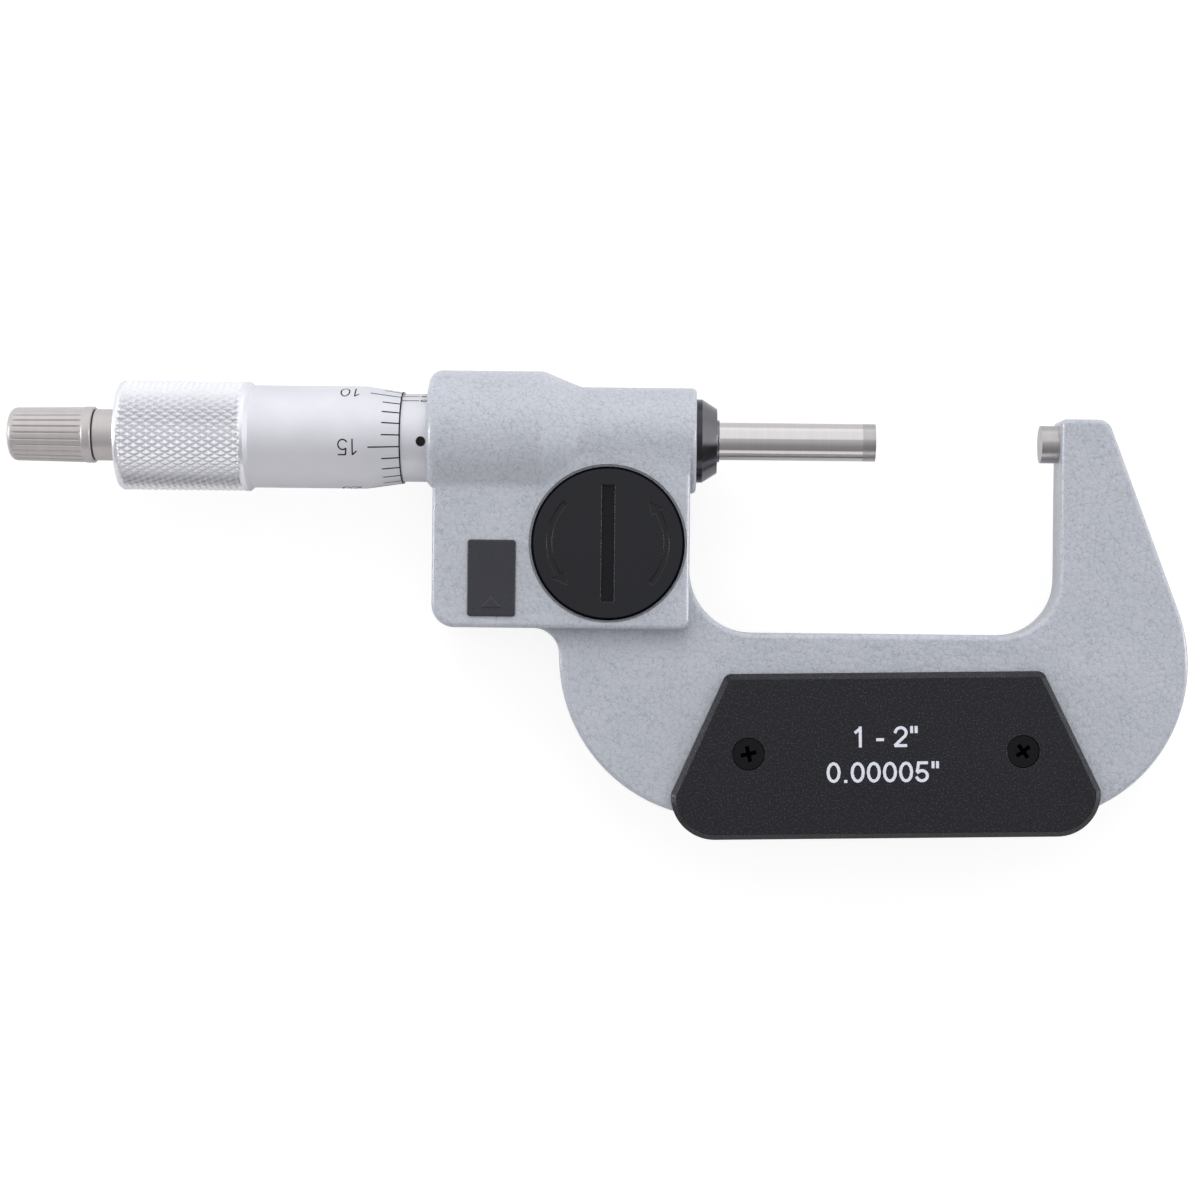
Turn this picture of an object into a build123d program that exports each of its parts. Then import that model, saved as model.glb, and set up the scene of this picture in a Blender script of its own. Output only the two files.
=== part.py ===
from build123d import *
import os
from math import pi, radians, sqrt, tan

# Digital outside micrometer for 25 to 50 mm, with an electronics block cast on its frame.
# Millimetres. The origin is the centre of the anvil's measuring face. The spindle lies along X, the
# anvil is on the +X side, the frame's bow hangs towards -Y, and +Z is the rear of the instrument.

# Measuring gap, along X
gap_shown = 27.94
gap_min = 25.4
gap_max = 50.8
close_travel = gap_shown - gap_min
open_travel = gap_max - gap_shown

# Clearances
running = 0.03
nest = 0.02
slip = 0.1
air = 0.3

# Spindle and anvil
spindle_d = 6.35
spindle_r = spindle_d / 2
tip_l = 2.2
anvil_stub = 3.0
anvil_tip_l = 3.2
anvil_l = 6.2

# Frame plate
plate_t = 10.0
plate_round = 0.9
arm_top_y = 4.05
arm_top_w = 7.95
arm_lean = 20.6
throat_y = -32.4
throat_round_left = 10.7
throat_round_right = 9.6
bow_y = -63.5
bow_left_x = -80.9
bow_round_left = 27.0
bow_round_right = 26.3
heel_round = 4.5
arm_corner_round = 2.5
arm_inner_round = 0.8

# Nose collar and barrel, lengths counted from the nose away from the anvil
collar_reserve = 3.52
collar_ring_l = 0.95
collar_cone_l = 2.51
collar_lip_l = 0.42
collar_r = 7.05
collar_tip_r = 5.45
collar_lip_r = 3.55
collar_shank_r = 4.6
collar_shank_l = 3.0
wiper_r = 4.4
wiper_l = 1.2
barrel_small_r = 8.9
barrel_small_l = 19.5
barrel_cone_l = 6.35
barrel_large_r = 11.5
barrel_large_l = 19.2
barrel_end_round = 2.1
barrel_nose_round = 0.8
barrel_cone_round = 2.0
shoulder_y = -9.1
shoulder_round = 2.3
chamber_r = 8.4
chamber_wall = 2.4
nose_x = -(gap_max + collar_reserve + collar_lip_l + collar_cone_l + collar_ring_l)
cone_x = nose_x - barrel_small_l
large_x = cone_x - barrel_cone_l
barrel_x = large_x - barrel_large_l
chamber_x = large_x - chamber_wall

# Electronics block
block_w = 42.9
block_side_step = 1.0
block_y = -31.9
block_step = 0.5
block_rear_z = barrel_small_r - block_step
pad_wall = 1.6
block_edge_round = 0.8
block_corner_round = 3.8
block_inner_corner_round = 1.5
valley_round_large = 2.5
valley_round_small = 27.3
valley_bite = 1.8
pad_w = 33.6
pad_top_y = 8.4
block_right_x = nose_x - block_side_step
block_left_x = block_right_x - block_w
pad_right_x = block_left_x + pad_w
block_front_z = -(chamber_r + pad_wall)

# Battery and its cap
cap_x = -72.8
cap_y = -17.7
cap_r = 12.8
cap_flange_t = 1.1
cap_plug_l = 3.0
cap_thread_r = 11.1
cap_web_t = 2.6
cap_wall = 1.7
cap_edge_round = 0.45
coin_slot_w = 2.2
coin_slot_l = 19.5
coin_slot_depth = 1.2
spot_depth = 0.5
spot_margin = 0.4
seal_w = 1.0
seal_t = 0.7
battery_r = 10.0
battery_t = 3.2
cup_wall = 0.95
cup_floor_t = 1.0
cup_depth = 5.2
battery_step = 0.5
contact_t = 0.3
contact_w = 2.0
contact_slot = 0.3
contact_reach = 6.4
cap_arrow_r = 9.75
cap_arrow_w = 0.85
cap_arrow_depth = 0.2
cap_arrow_start = -43.0
cap_arrow_turn = 76.0
cap_arrow_head_w = 2.2
cap_arrow_head_turn = 13.0

# Data port
port_x = -92.1
port_y = -23.65
port_w = 8.05
port_h = 12.76
port_flange_t = 0.4
port_lip = 0.35
port_plug_l = 2.2
port_corner_round = 0.6
port_edge_round = 0.2
port_mark_w = 3.2
port_mark_h = 1.7
port_mark_t = 0.12
port_mark_up = 1.5
socket_wall = 1.3
pin_w = 0.5
pin_pitch = 2.0
pin_rows = 5
pin_l = 3.4

# Front cover, circuit board and display, counted from the block's front face
gasket_t = 0.4
gasket_w = 1.6
cover_wall = 1.5
cover_face_t = 1.2
cover_round = 3.2
cover_inset = 0.6
cover_edge_round = 0.8
board_t = 1.0
strip_t = 1.0
lcd_t = 1.6
window_recess = 0.2
window_w = 21.5
window_h = 12.6
window_x = -85.2
window_y = -4.7
lcd_border = 1.2
strip_w = 1.2
button_y = -21.0
button_pitch = 7.8
button_w = 6.3
button_h = 4.3
button_round = 1.0
button_flange = 0.7
button_flange_t = 0.75
button_travel = 0.4
button_stem_r = 1.2
switch_side = 4.5
switch_t = 0.45
screw_inset = 2.6
cover_screw_r = 0.8
cover_screw_head_r = 1.6
cover_screw_head_t = 1.2
cover_screw_bite = 2.8
cover_boss_r = 2.4

# Hollows of the block behind the circuit board
pocket_wall = 2.2
pocket_side = 5.2
pocket_left_w = 10.9
pocket_left_z = -1.0
pocket_right_w = 11.5
pocket_right_z = -5.0
pocket_top_y = -10.5
pocket_round = 1.2

# Inner sleeve, graduated sleeve and nut
flange_l = 3.0
flange_inset = 0.5
sleeve_r = 7.4
sleeve_wall = 0.87
sleeve_cover = 1.0
spanner_hole_r = 0.8
spanner_hole_in = 1.0
spanner_hole_turn = 7.8
nut_l = 12.0
adjust_l = 3.6
adjust_gap = 0.4
inner_bore_r = 4.1
thread_r = 3.5
thread_spare = 0.5

# Thimble
thimble_clear = 1.85
thimble_edge_r = 7.72
thimble_body_r = 8.65
knurl_r = 9.25
thimble_taper_l = 6.26
thimble_plain_l = 19.1
knurl_l = 22.4
knurl_chamfer_l = 0.7
thimble_end_l = 0.5
thimble_end_drop = 0.35
web_t = 7.5
taper_big_r = 3.3
taper_small_r = 2.85
stem_thread_r = 1.2
stem_thread_l = 6.5

# Ratchet stop
stem_r = 4.35
stem_neck_l = 4.45
knob_gap = 0.15
knob_l = 14.25
knob_rim_r = 4.75
knob_end_r = 4.5
knob_end_round = 1.2
knob_rim_l = 1.5
knob_bore_r = 3.3
knob_wall = 4.8
knob_head_wall = 2.5
flute_count = 26
flute_r = 0.6
flute_depth = 0.25
flute_stop = 1.1
journal_r = 1.9
tooth_count = 12
tooth_h = 0.6
tooth_in_r = 2.05
tooth_out_r = 3.05
tooth_play = 0.06
tooth_turn = 1.0
ring_t = 1.8
ring_lug_w = 1.0
ring_lug_out = 0.45
ratchet_screw_r = 1.0
ratchet_head_r = 1.9
ratchet_head_t = 1.4
ratchet_thread_l = 5.0
spring_wire_r = 0.25
spring_mean_r = 2.6
spring_turns = 5

# Encoder
stator_t = 1.4
rotor_t = 1.5
rotor_air = 0.8
hub_r = 5.2
hub_gap = 0.9
key_w = 1.0
key_depth = 0.9
key_l = 5.0
ribbon_t = 0.15
ribbon_w = 2.5
ribbon_low_z = -5.0
ribbon_window_w = 2.4
ribbon_inset = 2.2
ribbon_fall = 2.7

# Spindle lock
lock_x = -63.2
lock_boss_r = 3.2
lock_boss_z = -8.0
lock_pin_r = 1.7
lock_flat = 1.4
lock_pin_reach = 2.6
lock_lever_t = 2.9
lock_arm_t = 1.8
lock_arm_l = 9.0
lock_arm_w = 3.2

# Grip plates and their screws
grip_x = -26.15
grip_y = -52.1
grip_turn = 1.15
grip_top_up = 13.35
grip_side_down = 6.65
grip_bottom_down = 14.3
grip_top_half = 26.5
grip_side_half = 35.9
grip_t = 2.5
grip_bevel = 0.9
grip_corner_round = 1.5
grip_bottom_round = 7.3
grip_screw_span = 45.8
grip_head_r = 2.65
grip_head_t = 1.5
grip_rim_t = 0.3
grip_screw_r = 1.25
grip_screw_l = 6.9
grip_recess = 0.3
cross_w = 0.7
cross_l = 2.7
cross_depth = 0.9
cross_turn_left = 12.0
cross_turn_right = 36.0

# Places along the spindle worked out from the sizes above
thimble_x = barrel_x - thimble_clear - close_travel
knurl_x = thimble_x - thimble_taper_l - thimble_plain_l
thimble_end_x = knurl_x - knurl_l
web_x = thimble_end_x + web_t
flange_x = barrel_x + flange_inset
bush_x = flange_x + flange_l
sleeve_x = thimble_x - open_travel - sleeve_cover
adjust_x = sleeve_x - adjust_gap
nut_x = adjust_x - adjust_l
thread_left_x = nut_x - close_travel - thread_spare
thread_right_x = nut_x + nut_l + open_travel + thread_spare
tip_x = -gap_shown - tip_l
stator_x = chamber_x - stator_t
rotor_x = stator_x - air - rotor_t
rotor_r = chamber_r - rotor_air
hub_x = thread_right_x + close_travel + hub_gap
key_right_x = hub_x + key_l
keyway_right_x = key_right_x + open_travel + thread_spare
stem_x = thimble_end_x - stem_neck_l
knob_x = stem_x - knob_gap
knob_end_x = knob_x - knob_l
knob_floor_x = knob_end_x + knob_wall
knob_head_x = knob_floor_x - knob_head_wall
journal_x = knob_floor_x + slip
lock_y = -(spindle_r + running + lock_pin_r)

# Places across the instrument
plate_z = plate_t / 2
cap_top_z = block_rear_z - spot_depth + cap_flange_t
cap_seat_z = block_rear_z - spot_depth
cap_plug_z = cap_seat_z - cap_plug_l
cup_top_z = cap_plug_z - 2 * slip
cup_z = cup_top_z - cup_floor_t - cup_depth
battery_z = cap_plug_z - slip - battery_t
plus_x = cap_x - battery_r - slip - contact_t / 2
minus_x = cap_x - contact_reach
thread_bore_r = cap_thread_r + nest + running
gasket_z = block_front_z - gasket_t
board_z = gasket_z - board_t
lcd_z = board_z - strip_t - lcd_t
cover_t = board_t + strip_t + lcd_t + cover_face_t
cover_face_z = gasket_z - cover_t
cover_inner_z = cover_face_z + cover_face_t
cover_left_x = block_left_x + cover_inset
cover_right_x = pad_right_x - cover_inset
cover_bottom_y = block_y + cover_inset
cover_top_y = pad_top_y - cover_inset
cover_w = cover_right_x - cover_left_x
cover_h = cover_top_y - cover_bottom_y
cover_x = (cover_left_x + cover_right_x) / 2
cover_y = (cover_bottom_y + cover_top_y) / 2
cover_inner_w = cover_w - 2 * cover_wall
cover_inner_h = cover_h - 2 * cover_wall
cover_screw_dx = cover_w / 2 - screw_inset
cover_screw_dy = cover_h / 2 - screw_inset
grip_face_z = plate_z + grip_t
socket_top_z = block_rear_z - port_plug_l - air
lock_lever_z = lock_boss_z - slip - lock_lever_t
ribbon_start_y = -(chamber_r - ribbon_inset)
ribbon_end_y = pocket_top_y - ribbon_fall
cover_screw_hole_l = cover_screw_bite + slip


def outline(*points):
    """A closed flat outline in the XY plane, or half the section of a turned piece as (x, radius)."""
    with BuildSketch() as drawn:
        with BuildLine():
            Polyline(*points, close=True)
        make_face()
    return drawn.sketch


def ring_section(x_low, x_high, r_inner, r_outer):
    """Half the section of a plain ring or tube about the spindle's line."""
    return outline((x_low, r_inner), (x_high, r_inner), (x_high, r_outer), (x_low, r_outer))


def rounded(point, radius):
    """Round the corner of the sketch being drawn that lies nearest to a point."""
    fillet(vertices().sort_by_distance(point)[0], radius)


def frame_outline(grow=0.0):
    """The frame's flat outline, with its bow, throat and leaning arm, grown by a clearance."""
    lean = tan(radians(arm_lean))
    bow_right_x = anvil_stub + arm_top_w + lean * (arm_top_y - bow_y)
    root_x = bow_left_x - 2 * heel_round
    with BuildSketch() as drawn:
        with BuildLine():
            Polyline(
                (anvil_stub, arm_top_y),
                (anvil_stub + arm_top_w, arm_top_y),
                (bow_right_x, bow_y),
                (bow_left_x, bow_y),
                (bow_left_x, block_y),
                (root_x, block_y),
                (root_x, 0),
                (block_right_x, 0),
                (block_right_x, throat_y),
                (anvil_stub, throat_y),
                close=True,
            )
        make_face()
        rounded((anvil_stub, arm_top_y), arm_inner_round)
        rounded((anvil_stub + arm_top_w, arm_top_y), arm_corner_round)
        rounded((bow_right_x, bow_y), bow_round_right)
        rounded((bow_left_x, bow_y), bow_round_left)
        rounded((bow_left_x, block_y), heel_round)
        rounded((block_right_x, throat_y), throat_round_left)
        rounded((anvil_stub, throat_y), throat_round_right)
        if grow:
            offset(amount=grow)
    return drawn.sketch


def valley_section(x, barrel_r, blend_r):
    """The web in the valley between the barrel and the block's rear face, cut across at x."""
    reach = barrel_r + blend_r
    centre_z = block_rear_z + blend_r
    centre_y = -sqrt(reach**2 - centre_z**2)
    centre = Vector(centre_y, centre_z)
    on_barrel = centre * (barrel_r / reach)
    on_block = Vector(centre_y, block_rear_z)
    middle = centre + ((on_barrel - centre) + (on_block - centre)).normalized() * blend_r
    root = centre * (valley_bite / reach)
    with BuildSketch(Plane.YZ.offset(x)) as drawn:
        with BuildLine():
            ThreePointArc(on_barrel, middle, on_block)
            Polyline(on_block, on_block - Vector(0, valley_bite), on_barrel - root, on_barrel)
        make_face()
    return drawn.sketch


def grip_seat(z=0.0):
    """The place midway between a grip plate's screws at a height, turned against the frame."""
    return Location((grip_x, grip_y, z), (0, 0, grip_turn))


def grip_outline():
    """The trapezium of a grip plate, with its rounded corners, in its place on the frame."""
    with BuildSketch() as drawn:
        with BuildLine():
            Polyline(
                (-grip_top_half, grip_top_up),
                (grip_top_half, grip_top_up),
                (grip_side_half, -grip_side_down),
                (grip_side_half, -grip_bottom_down),
                (-grip_side_half, -grip_bottom_down),
                (-grip_side_half, -grip_side_down),
                close=True,
            )
        make_face()
        fillet(vertices().group_by(Axis.Y)[-1], grip_corner_round)
        fillet(vertices().group_by(Axis.Y)[0], grip_bottom_round)
    return drawn.sketch.moved(grip_seat())


def saw_tooth(radius, root_x, tip_x):
    """One ratchet tooth's triangle on the plane that touches a radius at the top of the ring."""
    half = radius * tan(pi / tooth_count)
    with BuildSketch(Plane.XY.offset(radius)) as drawn:
        with BuildLine():
            Polyline((root_x, -half), (root_x, half), (tip_x, half), close=True)
        make_face()
    return drawn.sketch


def cap_arrow():
    """One of the battery cap's two engraved arrows: a band along an arc, and its head."""
    head = cap_arrow_start + cap_arrow_turn
    with BuildSketch() as drawn:
        with BuildLine():
            inner = CenterArc((0, 0), cap_arrow_r - cap_arrow_w / 2, cap_arrow_start, cap_arrow_turn)
            outer = CenterArc((0, 0), cap_arrow_r + cap_arrow_w / 2, cap_arrow_start, cap_arrow_turn)
            Line(inner @ 0, outer @ 0)
            Line(inner @ 1, outer @ 1)
        make_face()
        with BuildLine():
            Polyline(
                Vector(cap_arrow_r - cap_arrow_head_w / 2, 0).rotate(Axis.Z, head),
                Vector(cap_arrow_r + cap_arrow_head_w / 2, 0).rotate(Axis.Z, head),
                Vector(cap_arrow_r, 0).rotate(Axis.Z, head + cap_arrow_head_turn),
                close=True,
            )
        make_face()
    return drawn.sketch


def save(piece, label):
    """Name a finished piece and write it as its own file."""
    piece.part.label = label
    export_step(piece.part, f"parts/{label}.step")


os.makedirs("parts", exist_ok=True)

# The frame's casting: the rear half of the electronics block, with its soft edges
with BuildPart() as block_rear:
    with BuildSketch():
        with Locations(((block_left_x + block_right_x) / 2, block_y / 2)):
            Rectangle(block_w, -block_y)
        fillet(vertices().group_by(Axis.Y)[0].sort_by(Axis.X)[0], block_corner_round)
        fillet(vertices().group_by(Axis.Y)[0].sort_by(Axis.X)[-1], block_inner_corner_round)
    extrude(amount=block_rear_z)
    fillet(faces().sort_by(Axis.Z)[-1].edges(), block_edge_round)

# The front half, a flat pad that carries the display cover
with BuildPart() as block_front:
    with BuildSketch():
        with Locations(((block_left_x + pad_right_x) / 2, (block_y + pad_top_y) / 2)):
            RectangleRounded(pad_w, pad_top_y - block_y, block_corner_round)
    extrude(amount=block_front_z)

# The barrel, turned in one with the nose
with BuildPart() as barrel:
    with BuildSketch():
        with BuildLine():
            Polyline(
                (nose_x, 0),
                (nose_x, barrel_small_r),
                (cone_x, barrel_small_r),
                (large_x, barrel_large_r),
                (barrel_x, barrel_large_r),
                (barrel_x, 0),
                close=True,
            )
        make_face()
        rounded((nose_x, barrel_small_r), barrel_nose_round)
        rounded((cone_x, barrel_small_r), barrel_cone_round)
        rounded((large_x, barrel_large_r), barrel_cone_round)
        rounded((barrel_x, barrel_large_r), barrel_end_round)
    revolve(axis=Axis.X)
    # The front of the barrel is milled flat where the display cover lies over it
    with BuildSketch(Plane.XY.offset(block_front_z)):
        with Locations(((block_left_x + pad_right_x) / 2, 0)):
            Rectangle(pad_w, 2 * barrel_large_r)
    extrude(amount=block_front_z, mode=Mode.SUBTRACT)
    # Its mouth stands out past the block only above a rounded shoulder
    with BuildSketch(Plane.XY.offset(-barrel_large_r)):
        high_y = shoulder_y + shoulder_round
        with Locations(((barrel_x + block_left_x) / 2, (high_y - barrel_large_r) / 2)):
            Rectangle(block_left_x - barrel_x, high_y + barrel_large_r)
        with Locations((barrel_x + shoulder_round, high_y)):
            Circle(shoulder_round, mode=Mode.SUBTRACT)
    extrude(amount=2 * barrel_large_r, mode=Mode.SUBTRACT)

with BuildPart() as frame:
    with BuildSketch(Plane.XY.offset(-plate_z)):
        add(frame_outline())
    extrude(amount=plate_t)
    fillet(edges().group_by(Axis.Z)[0] + edges().group_by(Axis.Z)[-1], plate_round)
    add(block_rear.part)
    add(block_front.part)
    add(barrel.part)
    loft(
        [
            valley_section(block_left_x, barrel_large_r, valley_round_large),
            valley_section(large_x, barrel_large_r, valley_round_large),
            valley_section(cone_x, barrel_small_r, valley_round_small),
            valley_section(block_right_x, barrel_small_r, valley_round_small),
        ],
        ruled=True,
    )
    # Boss and spot face for the spindle lock
    with BuildSketch(Plane.XY.offset(lock_boss_z)):
        with Locations((lock_x, lock_y)):
            Circle(lock_boss_r)
    extrude(amount=-lock_boss_z)
    with BuildSketch(Plane.XY.offset(lock_boss_z)):
        with Locations((lock_x, lock_y)):
            Circle(lock_boss_r + spot_margin)
    extrude(amount=-barrel_small_r, mode=Mode.SUBTRACT)
    # Spindle bore, collar seat and encoder chamber
    revolve(
        outline(
            (barrel_x, 0),
            (nose_x, 0),
            (nose_x, collar_shank_r + nest),
            (nose_x - collar_shank_l - slip, collar_shank_r + nest),
            (nose_x - collar_shank_l - slip, spindle_r + running),
            (chamber_x, spindle_r + running),
            (chamber_x, chamber_r),
            (barrel_x, chamber_r),
        ),
        axis=Axis.X,
        mode=Mode.SUBTRACT,
    )
    # Anvil seat
    revolve(
        ring_section(anvil_stub, anvil_tip_l + anvil_l, 0, spindle_r + nest),
        axis=Axis.X,
        mode=Mode.SUBTRACT,
    )
    # Battery well, its spot face, the seal's seat and the slots for the two contacts
    with BuildSketch(Plane.XY.offset(cap_seat_z)):
        with Locations((cap_x, cap_y)):
            Circle(cap_r + spot_margin)
    extrude(amount=barrel_large_r, mode=Mode.SUBTRACT)
    with BuildSketch(Plane.XY.offset(cap_seat_z)):
        with Locations((cap_x, cap_y)):
            Circle(cap_thread_r + seal_w + slip)
    extrude(amount=-seal_t - nest, mode=Mode.SUBTRACT)
    with BuildSketch(Plane.XY.offset(cup_z)):
        with Locations((cap_x, cap_y)):
            Circle(thread_bore_r)
    extrude(amount=cap_seat_z - cup_z, mode=Mode.SUBTRACT)
    # Hollows behind the circuit board: one beside the data port, one under the battery
    with BuildSketch(Plane.XY.offset(block_front_z)):
        left_x = block_left_x + pocket_side
        low_y = block_y + pocket_wall
        with Locations((left_x + pocket_left_w / 2, (low_y + pocket_top_y) / 2)):
            RectangleRounded(pocket_left_w, pocket_top_y - low_y, pocket_round)
    extrude(amount=pocket_left_z - block_front_z, mode=Mode.SUBTRACT)
    with BuildSketch(Plane.XY.offset(block_front_z)):
        right_x = left_x + pocket_left_w + pocket_right_w
        with Locations(((left_x + right_x) / 2, (low_y + pocket_top_y) / 2)):
            RectangleRounded(right_x - left_x, pocket_top_y - low_y, pocket_round)
    extrude(amount=pocket_right_z - block_front_z, mode=Mode.SUBTRACT)
    # Opening for the data port, its socket and the ribbon's way into the encoder chamber
    with BuildSketch(Plane.XY.offset(pocket_left_z)):
        with Locations((port_x, port_y)):
            Rectangle(port_w - 2 * port_lip, port_h - 2 * port_lip)
    extrude(amount=block_rear_z - pocket_left_z, mode=Mode.SUBTRACT)
    with BuildSketch(Plane.XY.offset(ribbon_low_z - slip)):
        with Locations((chamber_x - ribbon_window_w / 2, (pocket_top_y - chamber_r / 2) / 2)):
            Rectangle(ribbon_window_w, -pocket_top_y - chamber_r / 2)
    extrude(amount=ribbon_w + 2 * slip, mode=Mode.SUBTRACT)
    # Slots for the battery contacts
    with BuildSketch(Plane.XY.offset(pocket_right_z)):
        with Locations((plus_x, cap_y), (minus_x, cap_y)):
            Rectangle(contact_t + 2 * contact_slot, contact_w + 2 * contact_slot)
    extrude(amount=cup_z - pocket_right_z, mode=Mode.SUBTRACT)
    # Lock pin's hole, the cover screws' holes and the grip screws' holes
    with BuildSketch(Plane.XY.offset(lock_boss_z)):
        with Locations((lock_x, lock_y)):
            Circle(lock_pin_r + running)
    extrude(amount=lock_pin_reach + air - lock_boss_z, mode=Mode.SUBTRACT)
    with BuildSketch(Plane.XY.offset(block_front_z)):
        with Locations((cover_x, cover_y)):
            with GridLocations(2 * cover_screw_dx, 2 * cover_screw_dy, 2, 2):
                Circle(cover_screw_r + nest)
    extrude(amount=cover_screw_hole_l, mode=Mode.SUBTRACT)
    with BuildSketch(Plane.XY.offset(-plate_z)):
        with Locations(grip_seat()):
            with GridLocations(grip_screw_span, 0, 2, 1):
                Circle(grip_screw_r + nest)
    extrude(amount=plate_t, mode=Mode.SUBTRACT)
save(frame, "frame")

# Anvil: a steel pin pressed into the frame's arm, with a carbide tip
with BuildPart() as anvil:
    revolve(ring_section(anvil_tip_l, anvil_tip_l + anvil_l, 0, spindle_r), axis=Axis.X)
save(anvil, "anvil")

with BuildPart() as anvil_tip:
    revolve(ring_section(0, anvil_tip_l, 0, spindle_r), axis=Axis.X)
save(anvil_tip, "anvil_tip")

# Carbide tip brazed on the spindle's end
with BuildPart() as spindle_tip:
    revolve(ring_section(tip_x, -gap_shown, 0, spindle_r), axis=Axis.X)
save(spindle_tip, "spindle_tip")

# Spindle: ground front, keyway for the encoder, screw, and the taper that carries the thimble
with BuildPart() as spindle:
    revolve(
        outline(
            (tip_x, 0),
            (tip_x, spindle_r),
            (thread_right_x, spindle_r),
            (thread_right_x, thread_r),
            (thread_left_x, thread_r),
            (thread_left_x, taper_big_r),
            (web_x, taper_big_r),
            (thimble_end_x + slip, taper_small_r),
            (thimble_end_x + slip, stem_thread_r + nest),
            (thimble_end_x + stem_thread_l + air, stem_thread_r + nest),
            (thimble_end_x + stem_thread_l + air, 0),
        ),
        axis=Axis.X,
    )
    with BuildSketch(Plane.XY.offset(spindle_r - key_depth - slip)):
        with Locations(((thread_right_x + keyway_right_x) / 2, 0)):
            Rectangle(keyway_right_x - thread_right_x, key_w + 2 * running)
    extrude(amount=spindle_r, mode=Mode.SUBTRACT)
save(spindle, "spindle")

# Nose collar: a black cone whose shank sits in the barrel, with a groove for the wiper
with BuildPart() as nose_collar:
    cone_left_x = nose_x + collar_ring_l
    lip_left_x = cone_left_x + collar_cone_l
    lip_right_x = lip_left_x + collar_lip_l
    wiper_x = nose_x + collar_ring_l
    revolve(
        outline(
            (nose_x - collar_shank_l, spindle_r + slip),
            (lip_right_x, spindle_r + slip),
            (lip_right_x, collar_lip_r),
            (lip_left_x, collar_lip_r),
            (lip_left_x, collar_tip_r),
            (cone_left_x, collar_r),
            (nose_x, collar_r),
            (nose_x, collar_shank_r),
            (nose_x - collar_shank_l, collar_shank_r),
        ),
        axis=Axis.X,
    )
    revolve(
        ring_section(wiper_x, wiper_x + wiper_l, spindle_r, wiper_r + nest),
        axis=Axis.X,
        mode=Mode.SUBTRACT,
    )
save(nose_collar, "nose_collar")

with BuildPart() as wiper_ring:
    revolve(
        ring_section(wiper_x + nest, wiper_x + wiper_l - nest, spindle_r + running, wiper_r),
        axis=Axis.X,
    )
save(wiper_ring, "wiper_ring")

# Inner sleeve: flange in the barrel's mouth, tube for the graduated sleeve, nut thread at its end
with BuildPart() as inner_sleeve:
    tube_r = sleeve_r - sleeve_wall - nest
    revolve(
        outline(
            (bush_x, inner_bore_r),
            (bush_x, chamber_r - nest),
            (flange_x, chamber_r - nest),
            (flange_x, tube_r),
            (nut_x, tube_r),
            (nut_x, thread_r + running),
            (nut_x + nut_l, thread_r + running),
            (nut_x + nut_l, inner_bore_r),
        ),
        axis=Axis.X,
    )
save(inner_sleeve, "inner_sleeve")

# Graduated sleeve: a thin tube that turns for setting zero, with a hole for a pin spanner
with BuildPart() as graduated_sleeve:
    revolve(ring_section(sleeve_x, flange_x - nest, sleeve_r - sleeve_wall, sleeve_r), axis=Axis.X)
    with BuildSketch(Plane.XY.rotated((spanner_hole_turn, 0, 0))):
        with Locations((barrel_x - spanner_hole_in, 0)):
            Circle(spanner_hole_r)
    extrude(amount=sleeve_r, mode=Mode.SUBTRACT)
save(graduated_sleeve, "graduated_sleeve")

# Adjusting nut: squeezes the end of the inner sleeve to take up play in the screw
with BuildPart() as adjusting_nut:
    revolve(ring_section(nut_x, adjust_x, tube_r + nest, sleeve_r), axis=Axis.X)
save(adjusting_nut, "adjusting_nut")

# Thimble: bevelled edge, plain body, knurled band, and a web with a taper at its end
with BuildPart() as thimble:
    revolve(
        outline(
            (thimble_x, sleeve_r + slip),
            (thimble_x, thimble_edge_r),
            (thimble_x - thimble_taper_l, thimble_body_r),
            (knurl_x, thimble_body_r),
            (knurl_x - knurl_chamfer_l, knurl_r),
            (thimble_end_x + thimble_end_l, knurl_r),
            (thimble_end_x, knurl_r - thimble_end_drop),
            (thimble_end_x, taper_small_r + nest),
            (web_x, taper_big_r + nest),
            (web_x, sleeve_r + slip),
        ),
        axis=Axis.X,
    )
save(thimble, "thimble")

# Ratchet stem: screws into the spindle, clamps the thimble and carries twelve face teeth
with BuildPart() as ratchet_stem:
    revolve(
        outline(
            (thimble_end_x + stem_thread_l, 0),
            (thimble_end_x + stem_thread_l, stem_thread_r),
            (thimble_end_x, stem_thread_r),
            (thimble_end_x, stem_r),
            (stem_x, stem_r),
            (stem_x, journal_r),
            (journal_x, journal_r),
            (journal_x, ratchet_screw_r + nest),
            (journal_x + ratchet_thread_l + air, ratchet_screw_r + nest),
            (journal_x + ratchet_thread_l + air, 0),
        ),
        axis=Axis.X,
    )
    stem_tooth = loft(
        [saw_tooth(tooth_in_r, stem_x, stem_x - tooth_h), saw_tooth(tooth_out_r, stem_x, stem_x - tooth_h)],
        ruled=True,
        mode=Mode.PRIVATE,
    )
    for tooth in range(tooth_count):
        add(stem_tooth.rotate(Axis.X, tooth * 360 / tooth_count))
save(ratchet_stem, "ratchet_stem")

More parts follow.
